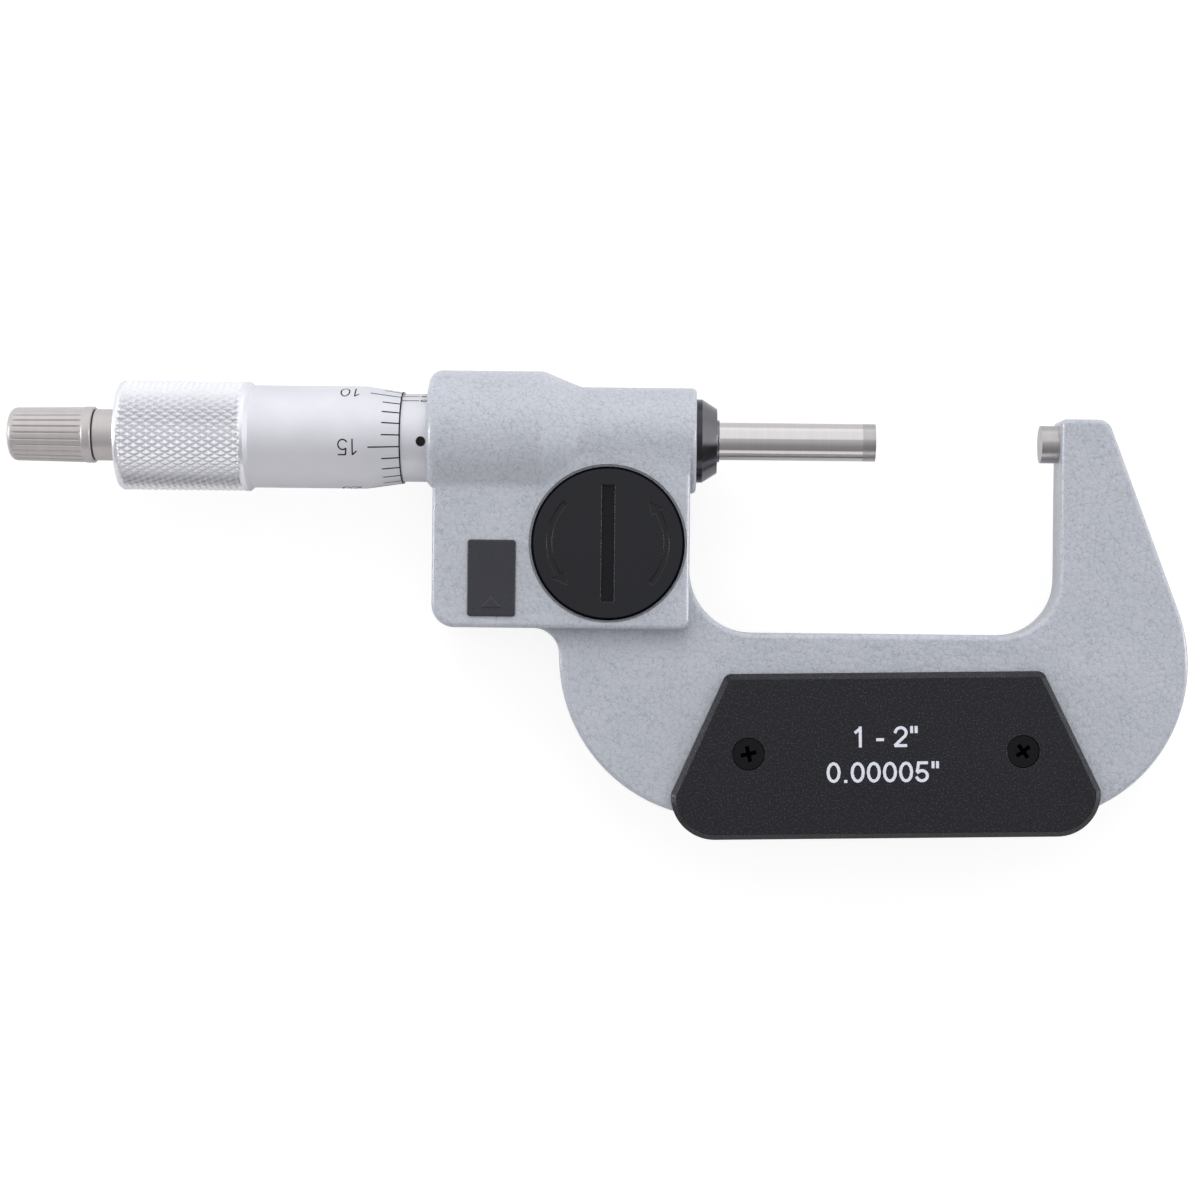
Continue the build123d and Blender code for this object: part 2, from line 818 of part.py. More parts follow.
# Ratchet ring: the mating teeth, with two lugs that slide in the knob's keyways
with BuildPart() as ratchet_ring:
    ring_tooth_x = stem_x - tooth_play
    ring_root_x = ring_tooth_x - tooth_h
    revolve(
        ring_section(ring_root_x - ring_t, ring_root_x, journal_r + slip, knob_bore_r - slip),
        axis=Axis.X,
    )
    with BuildSketch(Plane.YZ.offset(ring_root_x)):
        Rectangle(2 * (knob_bore_r + ring_lug_out), ring_lug_w)
        Circle(knob_bore_r - ring_lug_out, mode=Mode.SUBTRACT)
    extrude(amount=-ring_t)
    ring_tooth = mirror(
        loft(
            [
                saw_tooth(tooth_in_r, ring_root_x, ring_tooth_x),
                saw_tooth(tooth_out_r, ring_root_x, ring_tooth_x),
            ],
            ruled=True,
            mode=Mode.PRIVATE,
        ),
        about=Plane.XZ,
        mode=Mode.PRIVATE,
    )
    for tooth in range(tooth_count):
        add(ring_tooth.rotate(Axis.X, tooth * 360 / tooth_count - tooth_turn))
save(ratchet_ring, "ratchet_ring")

# Ratchet spring: presses the ring against the stem's teeth
with BuildPart() as ratchet_spring:
    spring_x = knob_floor_x + spring_wire_r
    spring_l = ring_root_x - ring_t - knob_floor_x - 2 * spring_wire_r
    with BuildLine() as coil:
        Helix(
            pitch=spring_l / spring_turns,
            height=spring_l,
            radius=spring_mean_r,
            center=(spring_x, 0, 0),
            direction=(1, 0, 0),
        )
    with BuildSketch(Plane(origin=coil.line @ 0, z_dir=coil.line % 0)):
        Circle(spring_wire_r)
    sweep(path=coil.line, is_frenet=True)
save(ratchet_spring, "ratchet_spring")

# Ratchet knob: a fluted cup, bored for the ring and spring, with a recess for the screw's head
with BuildPart() as ratchet_knob:
    with BuildSketch():
        with BuildLine():
            Polyline(
                (knob_x, knob_bore_r),
                (knob_x, knob_rim_r),
                (knob_x - knob_rim_l, knob_rim_r),
                (knob_end_x, knob_end_r),
                (knob_end_x, ratchet_head_r + slip),
                (knob_head_x, ratchet_head_r + slip),
                (knob_head_x, ratchet_screw_r + slip),
                (knob_floor_x, ratchet_screw_r + slip),
                (knob_floor_x, knob_bore_r),
                close=True,
            )
        make_face()
        rounded((knob_end_x, knob_end_r), knob_end_round)
    revolve(axis=Axis.X)
    flute_start_x = knob_x - knob_rim_l
    flute_end_x = knob_end_x + flute_stop
    flute_rise = flute_r - flute_depth
    with BuildSketch(Plane.YZ.offset(flute_start_x)) as flute_start:
        with Locations((knob_rim_r + flute_rise, 0)):
            Circle(flute_r)
    with BuildSketch(Plane.YZ.offset(flute_end_x)) as flute_end:
        with Locations((knob_end_r + flute_rise, 0)):
            Circle(flute_r)
    flute = loft([flute_start.sketch, flute_end.sketch], ruled=True, mode=Mode.PRIVATE)
    for turn in range(flute_count):
        add(flute.rotate(Axis.X, turn * 360 / flute_count), mode=Mode.SUBTRACT)
    # Keyways for the ratchet ring's two lugs
    with BuildSketch(Plane.YZ.offset(knob_x)):
        Rectangle(2 * (knob_bore_r + ring_lug_out + slip), ring_lug_w + 2 * slip)
    extrude(amount=ring_root_x - ring_t - tooth_h - slip - knob_x, mode=Mode.SUBTRACT)
save(ratchet_knob, "ratchet_knob")

# Ratchet screw: holds the knob on the stem's journal
with BuildPart() as ratchet_screw:
    revolve(
        outline(
            (knob_head_x - nest, 0),
            (knob_head_x - nest, ratchet_head_r),
            (knob_head_x - ratchet_head_t, ratchet_head_r),
            (knob_head_x - ratchet_head_t, 0),
        ),
        axis=Axis.X,
    )
    revolve(ring_section(knob_head_x - nest, journal_x + ratchet_thread_l, 0, ratchet_screw_r), axis=Axis.X)
    with BuildSketch(Plane.YZ.offset(knob_head_x - ratchet_head_t)):
        Rectangle(2 * ratchet_head_r, cross_w)
    extrude(amount=cross_w, mode=Mode.SUBTRACT)
save(ratchet_screw, "ratchet_screw")

# Encoder rotor: a disc on a hub, turned by the key that slides in the spindle's keyway
with BuildPart() as encoder_rotor:
    revolve(
        outline(
            (hub_x, spindle_r + running),
            (rotor_x + rotor_t, spindle_r + running),
            (rotor_x + rotor_t, rotor_r),
            (rotor_x, rotor_r),
            (rotor_x, hub_r),
            (hub_x, hub_r),
        ),
        axis=Axis.X,
    )
    with BuildSketch(Plane.XY.offset(spindle_r - key_depth)):
        with Locations((hub_x + key_l / 2, 0)):
            Rectangle(key_l, key_w)
    extrude(amount=key_depth + key_w)
save(encoder_rotor, "encoder_rotor")

# Encoder stator: a ring-shaped board against the chamber's end wall
with BuildPart() as encoder_stator:
    revolve(ring_section(stator_x, chamber_x, spindle_r + 2 * air, chamber_r - nest), axis=Axis.X)
save(encoder_stator, "encoder_stator")

# Rotor bush: carries the rotor's hub
with BuildPart() as rotor_bush:
    revolve(ring_section(bush_x, rotor_x - air, hub_r + running, chamber_r - nest), axis=Axis.X)
save(rotor_bush, "rotor_bush")

# Encoder ribbon: a flat cable from the stator through the wall to the circuit board
with BuildPart() as encoder_ribbon:
    with BuildSketch(Plane.YZ.offset(stator_x)):
        with BuildLine():
            Polyline(
                (ribbon_start_y, ribbon_low_z),
                (ribbon_start_y, ribbon_low_z + ribbon_w),
                (ribbon_end_y, ribbon_low_z + ribbon_w),
                (ribbon_end_y, gasket_z),
                (ribbon_end_y + ribbon_w, gasket_z),
                (ribbon_end_y + ribbon_w, ribbon_low_z),
                close=True,
            )
        make_face()
    extrude(amount=-ribbon_t)
save(encoder_ribbon, "encoder_ribbon")

# Spindle lock: a lever on a pin whose flat clears the spindle until the lever is swung
with BuildPart() as lock_pin:
    with BuildSketch(Plane.XY.offset(lock_lever_z + lock_arm_t / 2)):
        with Locations((lock_x, lock_y)):
            Circle(lock_pin_r)
    extrude(amount=lock_pin_reach - lock_lever_z - lock_arm_t / 2)
    with BuildSketch(Plane.XY.offset(-spindle_r - air)):
        with Locations((lock_x, lock_y + lock_flat + lock_pin_r)):
            Rectangle(2 * lock_pin_r, 2 * lock_pin_r)
    extrude(amount=spindle_r + air + lock_pin_reach, mode=Mode.SUBTRACT)
save(lock_pin, "lock_pin")

with BuildPart() as lock_lever:
    with BuildSketch(Plane.XY.offset(lock_boss_z - slip)):
        with Locations((lock_x, lock_y)):
            Circle(lock_boss_r - slip)
    extrude(amount=lock_lever_z - lock_boss_z + slip)
    with BuildSketch(Plane.XY.offset(lock_lever_z)):
        with Locations((lock_x, lock_y - lock_arm_l / 2)):
            SlotOverall(lock_arm_l + lock_arm_w, lock_arm_w, rotation=90)
    extrude(amount=lock_arm_t)
    with BuildSketch(Plane.XY.offset(lock_lever_z + lock_arm_t / 2)):
        with Locations((lock_x, lock_y)):
            Circle(lock_pin_r + nest)
    extrude(amount=lock_lever_t, mode=Mode.SUBTRACT)
save(lock_lever, "lock_lever")

# Circuit board: held between the cover's rim and the gasket, notched round the cover's bosses
with BuildPart() as circuit_board:
    with BuildSketch(Plane.XY.offset(board_z)):
        with Locations((cover_x, cover_y)):
            Rectangle(cover_inner_w - 2 * slip, cover_inner_h - 2 * slip)
            with GridLocations(2 * cover_screw_dx, 2 * cover_screw_dy, 2, 2):
                Circle(cover_boss_r + slip, mode=Mode.SUBTRACT)
    extrude(amount=board_t)
save(circuit_board, "circuit_board")

# Switches under the three buttons
with BuildPart() as button_switches:
    with BuildSketch(Plane.XY.offset(board_z)):
        with Locations((window_x, button_y)):
            with GridLocations(button_pitch, 0, 3, 1):
                Rectangle(switch_side, switch_side)
    extrude(amount=-switch_t)
save(button_switches, "button_switches")

# Display: glass panel, the two strips that connect it, and the window in the cover
with BuildPart() as lcd_panel:
    with BuildSketch(Plane.XY.offset(lcd_z)):
        with Locations((window_x, window_y)):
            Rectangle(window_w + 2 * lcd_border, window_h + 2 * lcd_border)
    extrude(amount=lcd_t)
save(lcd_panel, "lcd_panel")

with BuildPart() as lcd_contact_strips:
    with BuildSketch(Plane.XY.offset(board_z)):
        with Locations((window_x, window_y)):
            with GridLocations(0, window_h + 2 * lcd_border - strip_w, 1, 2):
                Rectangle(window_w, strip_w)
    extrude(amount=-strip_t)
save(lcd_contact_strips, "lcd_contact_strips")

with BuildPart() as display_window:
    with BuildSketch(Plane.XY.offset(cover_face_z + window_recess)):
        with Locations((window_x, window_y)):
            Rectangle(window_w - 2 * nest, window_h - 2 * nest)
    extrude(amount=cover_face_t - window_recess)
save(display_window, "display_window")

# Front cover: a moulded tray with screw bosses, a display opening and three button holes
with BuildPart() as front_cover:
    with BuildSketch(Plane.XY.offset(gasket_z)):
        with Locations((cover_x, cover_y)):
            RectangleRounded(cover_w, cover_h, cover_round)
    extrude(amount=-cover_t)
    fillet(faces().sort_by(Axis.Z)[0].edges(), cover_edge_round)
    with BuildSketch(Plane.XY.offset(cover_inner_z)):
        with Locations((cover_x, cover_y)):
            RectangleRounded(cover_inner_w, cover_inner_h, cover_round - cover_wall)
            with GridLocations(2 * cover_screw_dx, 2 * cover_screw_dy, 2, 2):
                Circle(cover_boss_r, mode=Mode.SUBTRACT)
    extrude(amount=cover_t - cover_face_t, mode=Mode.SUBTRACT)
    with BuildSketch(Plane.XY.offset(cover_face_z)):
        with Locations((window_x, window_y)):
            Rectangle(window_w, window_h)
        with Locations((window_x, button_y)):
            with GridLocations(button_pitch, 0, 3, 1):
                RectangleRounded(button_w + 2 * slip, button_h + 2 * slip, button_round)
        with Locations((cover_x, cover_y)):
            with GridLocations(2 * cover_screw_dx, 2 * cover_screw_dy, 2, 2):
                Circle(cover_screw_r + slip)
    extrude(amount=cover_t, mode=Mode.SUBTRACT)
    with BuildSketch(Plane.XY.offset(cover_face_z)):
        with Locations((cover_x, cover_y)):
            with GridLocations(2 * cover_screw_dx, 2 * cover_screw_dy, 2, 2):
                Circle(cover_screw_head_r + slip)
    extrude(amount=window_recess + cover_screw_head_t, mode=Mode.SUBTRACT)
save(front_cover, "front_cover")

with BuildPart() as cover_gasket:
    with BuildSketch(Plane.XY.offset(gasket_z)):
        with Locations((cover_x, cover_y)):
            RectangleRounded(cover_w, cover_h, cover_round)
            Rectangle(cover_w - 2 * gasket_w, cover_h - 2 * gasket_w, mode=Mode.SUBTRACT)
            with GridLocations(2 * cover_screw_dx, 2 * cover_screw_dy, 2, 2):
                Circle(cover_boss_r)
                Circle(cover_screw_r + slip, mode=Mode.SUBTRACT)
    extrude(amount=gasket_t)
save(cover_gasket, "cover_gasket")

# Four screws that hold the cover to the casting
with BuildPart() as front_cover_screws:
    head_z = cover_face_z + window_recess
    with BuildSketch(Plane.XY.offset(head_z)):
        with Locations((cover_x, cover_y)):
            with GridLocations(2 * cover_screw_dx, 2 * cover_screw_dy, 2, 2):
                Circle(cover_screw_head_r)
    extrude(amount=cover_screw_head_t)
    with BuildSketch(Plane.XY.offset(head_z)):
        with Locations((cover_x, cover_y)):
            with GridLocations(2 * cover_screw_dx, 2 * cover_screw_dy, 2, 2):
                Circle(cover_screw_r)
    extrude(amount=block_front_z + cover_screw_bite - head_z)
    with BuildSketch(Plane.XY.offset(head_z)):
        with Locations((cover_x, cover_y)):
            with GridLocations(2 * cover_screw_dx, 2 * cover_screw_dy, 2, 2):
                Rectangle(2 * cover_screw_r, cross_w)
                Rectangle(cross_w, 2 * cover_screw_r)
    extrude(amount=cross_w, mode=Mode.SUBTRACT)
save(front_cover_screws, "front_cover_screws")

# Three buttons: cap in the cover's hole, flange behind the face, stem over its switch
button_names = ["zero_button", "hold_button", "unit_button"]
for place, label in enumerate(button_names):
    button_x = window_x + (place - 1) * button_pitch
    with BuildPart() as button:
        with BuildSketch(Plane.XY.offset(cover_face_z + window_recess)):
            with Locations((button_x, button_y)):
                RectangleRounded(button_w, button_h, button_round)
        extrude(amount=cover_face_t - window_recess + nest)
        with BuildSketch(Plane.XY.offset(cover_inner_z + nest)):
            with Locations((button_x, button_y)):
                RectangleRounded(button_w + 2 * button_flange, button_h + 2 * button_flange, button_round)
        extrude(amount=button_flange_t)
        with BuildSketch(Plane.XY.offset(cover_inner_z + nest + button_flange_t)):
            with Locations((button_x, button_y)):
                Circle(button_stem_r)
        extrude(amount=board_z - switch_t - button_travel - slip - cover_inner_z - nest - button_flange_t)
    save(button, label)

# Coin cell in an insulating cup, with a spring contact below it and a blade at its side
with BuildPart() as battery:
    with Locations((cap_x, cap_y, battery_z)):
        Cylinder(battery_r - battery_step, battery_step, align=(Align.CENTER, Align.CENTER, Align.MIN))
    with Locations((cap_x, cap_y, battery_z + battery_step)):
        Cylinder(battery_r, battery_t - battery_step, align=(Align.CENTER, Align.CENTER, Align.MIN))
save(battery, "battery")

with BuildPart() as battery_cup:
    with BuildSketch(Plane.XY.offset(cup_z)):
        with Locations((cap_x, cap_y)):
            Circle(cap_thread_r)
    extrude(amount=cup_floor_t + cup_depth)
    with BuildSketch(Plane.XY.offset(cup_z + cup_floor_t)):
        with Locations((cap_x, cap_y)):
            Circle(cap_thread_r - cup_wall)
    extrude(amount=cup_depth, mode=Mode.SUBTRACT)
    with BuildSketch(Plane.XY.offset(cup_z)):
        with Locations((plus_x, cap_y)):
            Rectangle(contact_t + 2 * slip, contact_w + 2 * slip)
    extrude(amount=cup_floor_t + cup_depth, mode=Mode.SUBTRACT)
    with BuildSketch(Plane.XY.offset(cup_z)):
        with Locations((minus_x, cap_y)):
            Rectangle(contact_t + 2 * slip, contact_w + 2 * slip)
    extrude(amount=cup_floor_t, mode=Mode.SUBTRACT)
save(battery_cup, "battery_cup")

with BuildPart() as battery_contact_plus:
    with BuildSketch(Plane.XY.offset(gasket_z)):
        with Locations((plus_x, cap_y)):
            Rectangle(contact_t, contact_w)
    extrude(amount=battery_z + battery_t - slip - gasket_z)
save(battery_contact_plus, "battery_contact_plus")

with BuildPart() as battery_contact_minus:
    leaf_z = cup_z + cup_floor_t
    with BuildSketch(Plane.XY.offset(gasket_z)):
        with Locations((minus_x, cap_y)):
            Rectangle(contact_t, contact_w)
    extrude(amount=leaf_z - gasket_z)
    with BuildSketch(Plane.XY.offset(leaf_z)):
        with Locations(((minus_x - contact_t / 2 + cap_x) / 2, cap_y)):
            Rectangle(cap_x - minus_x + contact_t / 2, contact_w)
        with Locations((cap_x, cap_y)):
            Circle(contact_w)
    extrude(amount=contact_t)
    with Locations((cap_x, cap_y, leaf_z + contact_t)):
        Cone(
            contact_w,
            contact_w / 2,
            battery_z - leaf_z - contact_t,
            align=(Align.CENTER, Align.CENTER, Align.MIN),
        )
save(battery_contact_minus, "battery_contact_minus")

# Battery cap: flange, threaded plug, coin slot and two curved arrows
with BuildPart() as battery_cap:
    with BuildSketch(Plane.XY.offset(cap_seat_z)):
        with Locations((cap_x, cap_y)):
            Circle(cap_r)
    extrude(amount=cap_flange_t)
    fillet(edges().sort_by(Axis.Z)[-1], cap_edge_round)
    with BuildSketch(Plane.XY.offset(cap_plug_z)):
        with Locations((cap_x, cap_y)):
            Circle(cap_thread_r)
    extrude(amount=cap_plug_l)
    with BuildSketch(Plane.XY.offset(cap_plug_z)):
        with Locations((cap_x, cap_y)):
            Circle(cap_thread_r - cap_wall)
    extrude(amount=cap_top_z - cap_web_t - cap_plug_z, mode=Mode.SUBTRACT)
    with BuildSketch(Plane.XY.offset(cap_top_z)):
        with Locations((cap_x, cap_y)):
            Rectangle(coin_slot_w, coin_slot_l)
    extrude(amount=-coin_slot_depth, mode=Mode.SUBTRACT)
    with BuildSketch(Plane.XY.offset(cap_top_z)):
        with Locations((cap_x, cap_y)):
            with PolarLocations(0, 2):
                add(cap_arrow())
    extrude(amount=-cap_arrow_depth, mode=Mode.SUBTRACT)
save(battery_cap, "battery_cap")

with BuildPart() as battery_cap_seal:
    with BuildSketch(Plane.XY.offset(cap_seat_z)):
        with Locations((cap_x, cap_y)):
            Circle(cap_thread_r + seal_w)
            Circle(cap_thread_r + nest, mode=Mode.SUBTRACT)
    extrude(amount=-seal_t)
save(battery_cap_seal, "battery_cap_seal")

# Data port: snap-in cover with a raised triangle, socket on the circuit board, ten square pins
with BuildPart() as data_port_cover:
    with BuildSketch(Plane.XY.offset(block_rear_z)):
        with Locations((port_x, port_y)):
            RectangleRounded(port_w, port_h, port_corner_round)
    extrude(amount=port_flange_t)
    fillet(faces().sort_by(Axis.Z)[-1].edges(), port_edge_round)
    with BuildSketch(Plane.XY.offset(block_rear_z)):
        with Locations((port_x, port_y)):
            Rectangle(port_w - 2 * port_lip - 2 * slip, port_h - 2 * port_lip - 2 * slip)
    extrude(amount=-port_plug_l)
    with BuildSketch(Plane.XY.offset(block_rear_z + port_flange_t)):
        mark_y = port_y - port_h / 2 + port_mark_up
        add(
            outline(
                (port_x - port_mark_w / 2, mark_y),
                (port_x + port_mark_w / 2, mark_y),
                (port_x, mark_y + port_mark_h),
            )
        )
    extrude(amount=port_mark_t)
save(data_port_cover, "data_port_cover")

with BuildPart() as data_port_socket:
    with BuildSketch(Plane.XY.offset(gasket_z)):
        with Locations((port_x, port_y)):
            Rectangle(port_w - 2 * port_lip - 2 * slip, port_h - 2 * port_lip - 2 * slip)
    extrude(amount=socket_top_z - gasket_z)
    with BuildSketch(Plane.XY.offset(socket_top_z)):
        with Locations((port_x, port_y)):
            Rectangle(port_w - 2 * socket_wall, port_h - 2 * socket_wall)
    extrude(amount=-pin_l - air, mode=Mode.SUBTRACT)
save(data_port_socket, "data_port_socket")

with BuildPart() as data_port_pins:
    with BuildSketch(Plane.XY.offset(socket_top_z - pin_l - air)):
        with Locations((port_x, port_y)):
            with GridLocations(pin_pitch, pin_pitch, 2, pin_rows):
                Rectangle(pin_w, pin_w)
    extrude(amount=pin_l)
save(data_port_pins, "data_port_pins")

# Grip plates: bevelled slabs on both faces of the bow, each with a lip that wraps under its edge
with BuildPart() as rear_grip_plate:
    with BuildSketch(Plane.XY.offset(plate_z)):
        add(grip_outline())
    extrude(amount=grip_t)
    chamfer(faces().sort_by(Axis.Z)[-1].edges(), grip_bevel)
    with BuildSketch():
        add(grip_outline())
        add(frame_outline(nest), mode=Mode.SUBTRACT)
    extrude(amount=plate_z)
    with Locations(grip_seat(grip_face_z)):
        with GridLocations(grip_screw_span, 0, 2, 1):
            Cylinder(grip_screw_r + slip, 2 * grip_t, mode=Mode.SUBTRACT)
            Cylinder(grip_head_r + slip, 2 * (grip_recess + grip_rim_t), mode=Mode.SUBTRACT)
    with Locations(grip_seat(grip_face_z - grip_recess - grip_rim_t)):
        with GridLocations(grip_screw_span, 0, 2, 1):
            Cone(
                grip_screw_r + slip,
                grip_head_r + slip,
                grip_head_t - grip_rim_t,
                align=(Align.CENTER, Align.CENTER, Align.MAX),
                mode=Mode.SUBTRACT,
            )
save(rear_grip_plate, "rear_grip_plate")

with BuildPart() as front_grip_plate:
    mirror(rear_grip_plate.part, about=Plane.XY)
save(front_grip_plate, "front_grip_plate")

# Countersunk screws with cross recesses
with BuildPart() as rear_grip_screws:
    head_top_z = grip_face_z - grip_recess
    with Locations(grip_seat(head_top_z)):
        with GridLocations(grip_screw_span, 0, 2, 1):
            Cylinder(grip_head_r, grip_rim_t, align=(Align.CENTER, Align.CENTER, Align.MAX))
            Cylinder(grip_screw_r, grip_screw_l, align=(Align.CENTER, Align.CENTER, Align.MAX))
    with Locations(grip_seat(head_top_z - grip_rim_t)):
        with GridLocations(grip_screw_span, 0, 2, 1):
            Cone(
                grip_screw_r,
                grip_head_r,
                grip_head_t - grip_rim_t,
                align=(Align.CENTER, Align.CENTER, Align.MAX),
            )
    with BuildSketch(Plane.XY.offset(head_top_z)):
        with Locations(
            grip_seat() * Location((-grip_screw_span / 2, 0, 0), (0, 0, cross_turn_left)),
            grip_seat() * Location((grip_screw_span / 2, 0, 0), (0, 0, cross_turn_right)),
        ):
            Rectangle(cross_l, cross_w)
            Rectangle(cross_w, cross_l)
    extrude(amount=-cross_depth, mode=Mode.SUBTRACT)
save(rear_grip_screws, "rear_grip_screws")

with BuildPart() as front_grip_screws:
    mirror(rear_grip_screws.part, about=Plane.XY)
save(front_grip_screws, "front_grip_screws")
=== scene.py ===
import bpy
import numpy as np
from math import atan2, cos, pi, radians, sin
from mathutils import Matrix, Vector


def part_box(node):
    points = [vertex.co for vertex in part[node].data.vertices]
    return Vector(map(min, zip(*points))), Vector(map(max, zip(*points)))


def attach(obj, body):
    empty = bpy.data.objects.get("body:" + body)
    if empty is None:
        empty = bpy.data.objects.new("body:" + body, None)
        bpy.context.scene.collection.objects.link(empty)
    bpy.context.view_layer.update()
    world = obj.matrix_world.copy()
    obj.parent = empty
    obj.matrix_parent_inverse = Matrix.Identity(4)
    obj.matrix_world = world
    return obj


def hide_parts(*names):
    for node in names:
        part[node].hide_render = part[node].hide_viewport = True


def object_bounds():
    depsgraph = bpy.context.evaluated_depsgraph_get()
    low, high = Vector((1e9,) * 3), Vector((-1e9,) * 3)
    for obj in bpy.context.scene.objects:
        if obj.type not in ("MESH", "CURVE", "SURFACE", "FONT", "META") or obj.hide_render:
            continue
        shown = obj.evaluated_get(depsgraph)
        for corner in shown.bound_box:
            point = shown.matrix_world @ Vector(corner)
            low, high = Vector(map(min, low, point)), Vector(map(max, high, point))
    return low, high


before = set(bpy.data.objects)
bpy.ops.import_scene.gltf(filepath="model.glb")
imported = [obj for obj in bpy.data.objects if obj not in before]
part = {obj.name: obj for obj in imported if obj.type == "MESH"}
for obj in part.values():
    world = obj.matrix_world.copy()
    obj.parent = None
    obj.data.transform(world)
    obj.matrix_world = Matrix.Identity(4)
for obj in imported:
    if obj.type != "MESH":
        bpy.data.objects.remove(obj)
cad_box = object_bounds()

# Bench, camera and light. The instrument lies display down on a white bench inside a light tent,
# and the camera hangs square above its rear face, a little to the left of the picture's middle.
# The tent is bright towards the top of the picture and dark round the lens, which the metal shows.
lens = bpy.data.cameras.new("camera")
lens.lens = 77.35
lens.sensor_width = 36.0
lens.shift_x = -0.0577
lens.shift_y = 0.0035
lens.clip_start = 0.01
camera = bpy.data.objects.new("camera", lens)
camera.location = (-0.0625, -0.0277, 0.437)
camera.rotation_euler = (0, 0, radians(0.604))
bpy.context.scene.collection.objects.link(camera)
bpy.context.scene.camera = camera
bpy.context.scene.view_settings.view_transform = "Standard"


class Wiring:
    """The nodes of a world or a material. A value is a number, a colour, a vector or a node's output."""

    def __init__(self, tree):
        self.nodes, self.links = tree.nodes, tree.links

    def join(self, value, socket):
        """Links an output to a socket, or sets the socket to a plain value."""
        if isinstance(value, bpy.types.NodeSocket):
            self.links.new(value, socket)
        else:
            socket.default_value = value

    def node(self, kind, values=None, **settings):
        """A new node of a kind, with its settings made first and then its values joined to sockets."""
        node = self.nodes.new("ShaderNode" + kind)
        for name, setting in settings.items():
            setattr(node, name, setting)
        for socket, value in (values or {}).items():
            self.join(value, node.inputs[socket])
        return node

    def maths(self, operation, first, second=0.0):
        """One or two values joined by an operation."""
        return self.node("Math", {0: first, 1: second}, operation=operation).outputs[0]

    def vector_maths(self, operation, *vectors):
        """The node that joins vectors by an operation."""
        return self.node("VectorMath", dict(enumerate(vectors)), operation=operation)

    def span(self, value, low, high, to_low=0.0, to_high=1.0):
        """A value's share of the way from low to high, laid over another range and held inside it."""
        ends = {"From Min": low, "From Max": high, "To Min": to_low, "To Max": to_high}
        return self.node("MapRange", {"Value": value, **ends}).outputs[0]

    def mixed(self, share, first, second):
        """A colour between two others by a share."""
        values = {"Factor": share, "A": first, "B": second}
        return self.node("Mix", values, data_type="RGBA").outputs["Result"]


tent_across = [
    (-180, (0.30, 0.30, 0.30)),
    (-92, (0.16, 0.16, 0.16)),
    (-82, (1.05, 1.03, 1.02)),
    (-63, (1.00, 0.98, 0.97)),
    (-57, (0.27, 0.27, 0.28)),
    (-28, (0.36, 0.35, 0.36)),
    (-3, (0.56, 0.56, 0.59)),
    (12, (0.66, 0.66, 0.70)),
    (18, (1.14, 1.12, 1.12)),
    (60, (1.14, 1.14, 1.17)),
    (84, (1.28, 1.28, 1.32)),
    (98, (1.22, 1.22, 1.26)),
    (122, (0.48, 0.48, 0.50)),
]
tent_to_ends = [
    (-180, (0.26, 0.26, 0.26)),
    (-60, (0.09, 0.09, 0.10)),
    (-32, (0.09, 0.09, 0.10)),
    (-8, (1.00, 1.00, 1.04)),
    (60, (1.00, 1.00, 1.04)),
    (150, (0.50, 0.50, 0.52)),
]
end_lean = (0.50, 0.70)
soft_box_aims = [(-0.99, 0.05, 0.10), (0.99, 0.05, 0.10)]
soft_box_half = radians(9)
soft_box_fade = radians(3)
soft_box_strength = 12.0


def tent_sky():
    """Tent brightness. A ramp of (degrees, colour) runs over the angle from straight up towards +Y or
    -Y, atan2(y, z). Directions that lean to either end, by the size of x, go over to a second ramp.
    A soft box is added where the cosine to its aim passes the cosine of its half width."""
    world = bpy.data.worlds.new("light tent")
    bpy.context.scene.world = world
    world.use_nodes = True
    tent = Wiring(world.node_tree)
    direction = tent.node("TexCoord").outputs["Generated"]
    split = tent.node("SeparateXYZ", {0: direction}).outputs
    turn = tent.span(tent.maths("ARCTAN2", split["Y"], split["Z"]), -pi, pi)

    def ramp(stops):
        """A colour ramp over the angle, from -180 to 180 degrees."""
        node = tent.node("ValToRGB", {"Fac": turn})
        while len(node.color_ramp.elements) < len(stops):
            node.color_ramp.elements.new(0.5)
        for element, (degrees, colour) in zip(node.color_ramp.elements, stops):
            element.position = (degrees + 180) / 360
            element.color = (*colour, 1)
        return node.outputs["Color"]

    lean = tent.span(tent.maths("ABSOLUTE", split["X"]), *end_lean)
    light = tent.mixed(lean, ramp(tent_across), ramp(tent_to_ends))
    for aim in soft_box_aims:
        facing = tent.vector_maths("DOT_PRODUCT", direction, aim).outputs["Value"]
        edge, full = cos(soft_box_half + soft_box_fade), cos(soft_box_half)
        box = tent.span(facing, edge, full, 0, soft_box_strength)
        light = tent.vector_maths("ADD", light, box).outputs["Vector"]
    seen = tent.node("LightPath").outputs["Is Camera Ray"]
    tent.join(tent.mixed(seen, light, (1, 1, 1, 1)), tent.nodes["Background"].inputs["Color"])


tent_sky()

bench_gap = 0.0002
bench_z = cad_box[0].z - bench_gap
bench_half = 2
bench_reach = 0.004
bench_scattered = (0.54, 0.54, 0.54, 1)
bench_mirrored = (0.95, 0.95, 0.95, 1)
bench_shadowed = (0.28, 0.28, 0.28, 1)
bench_own_white = 0.84
bench_near_glow = 0.5


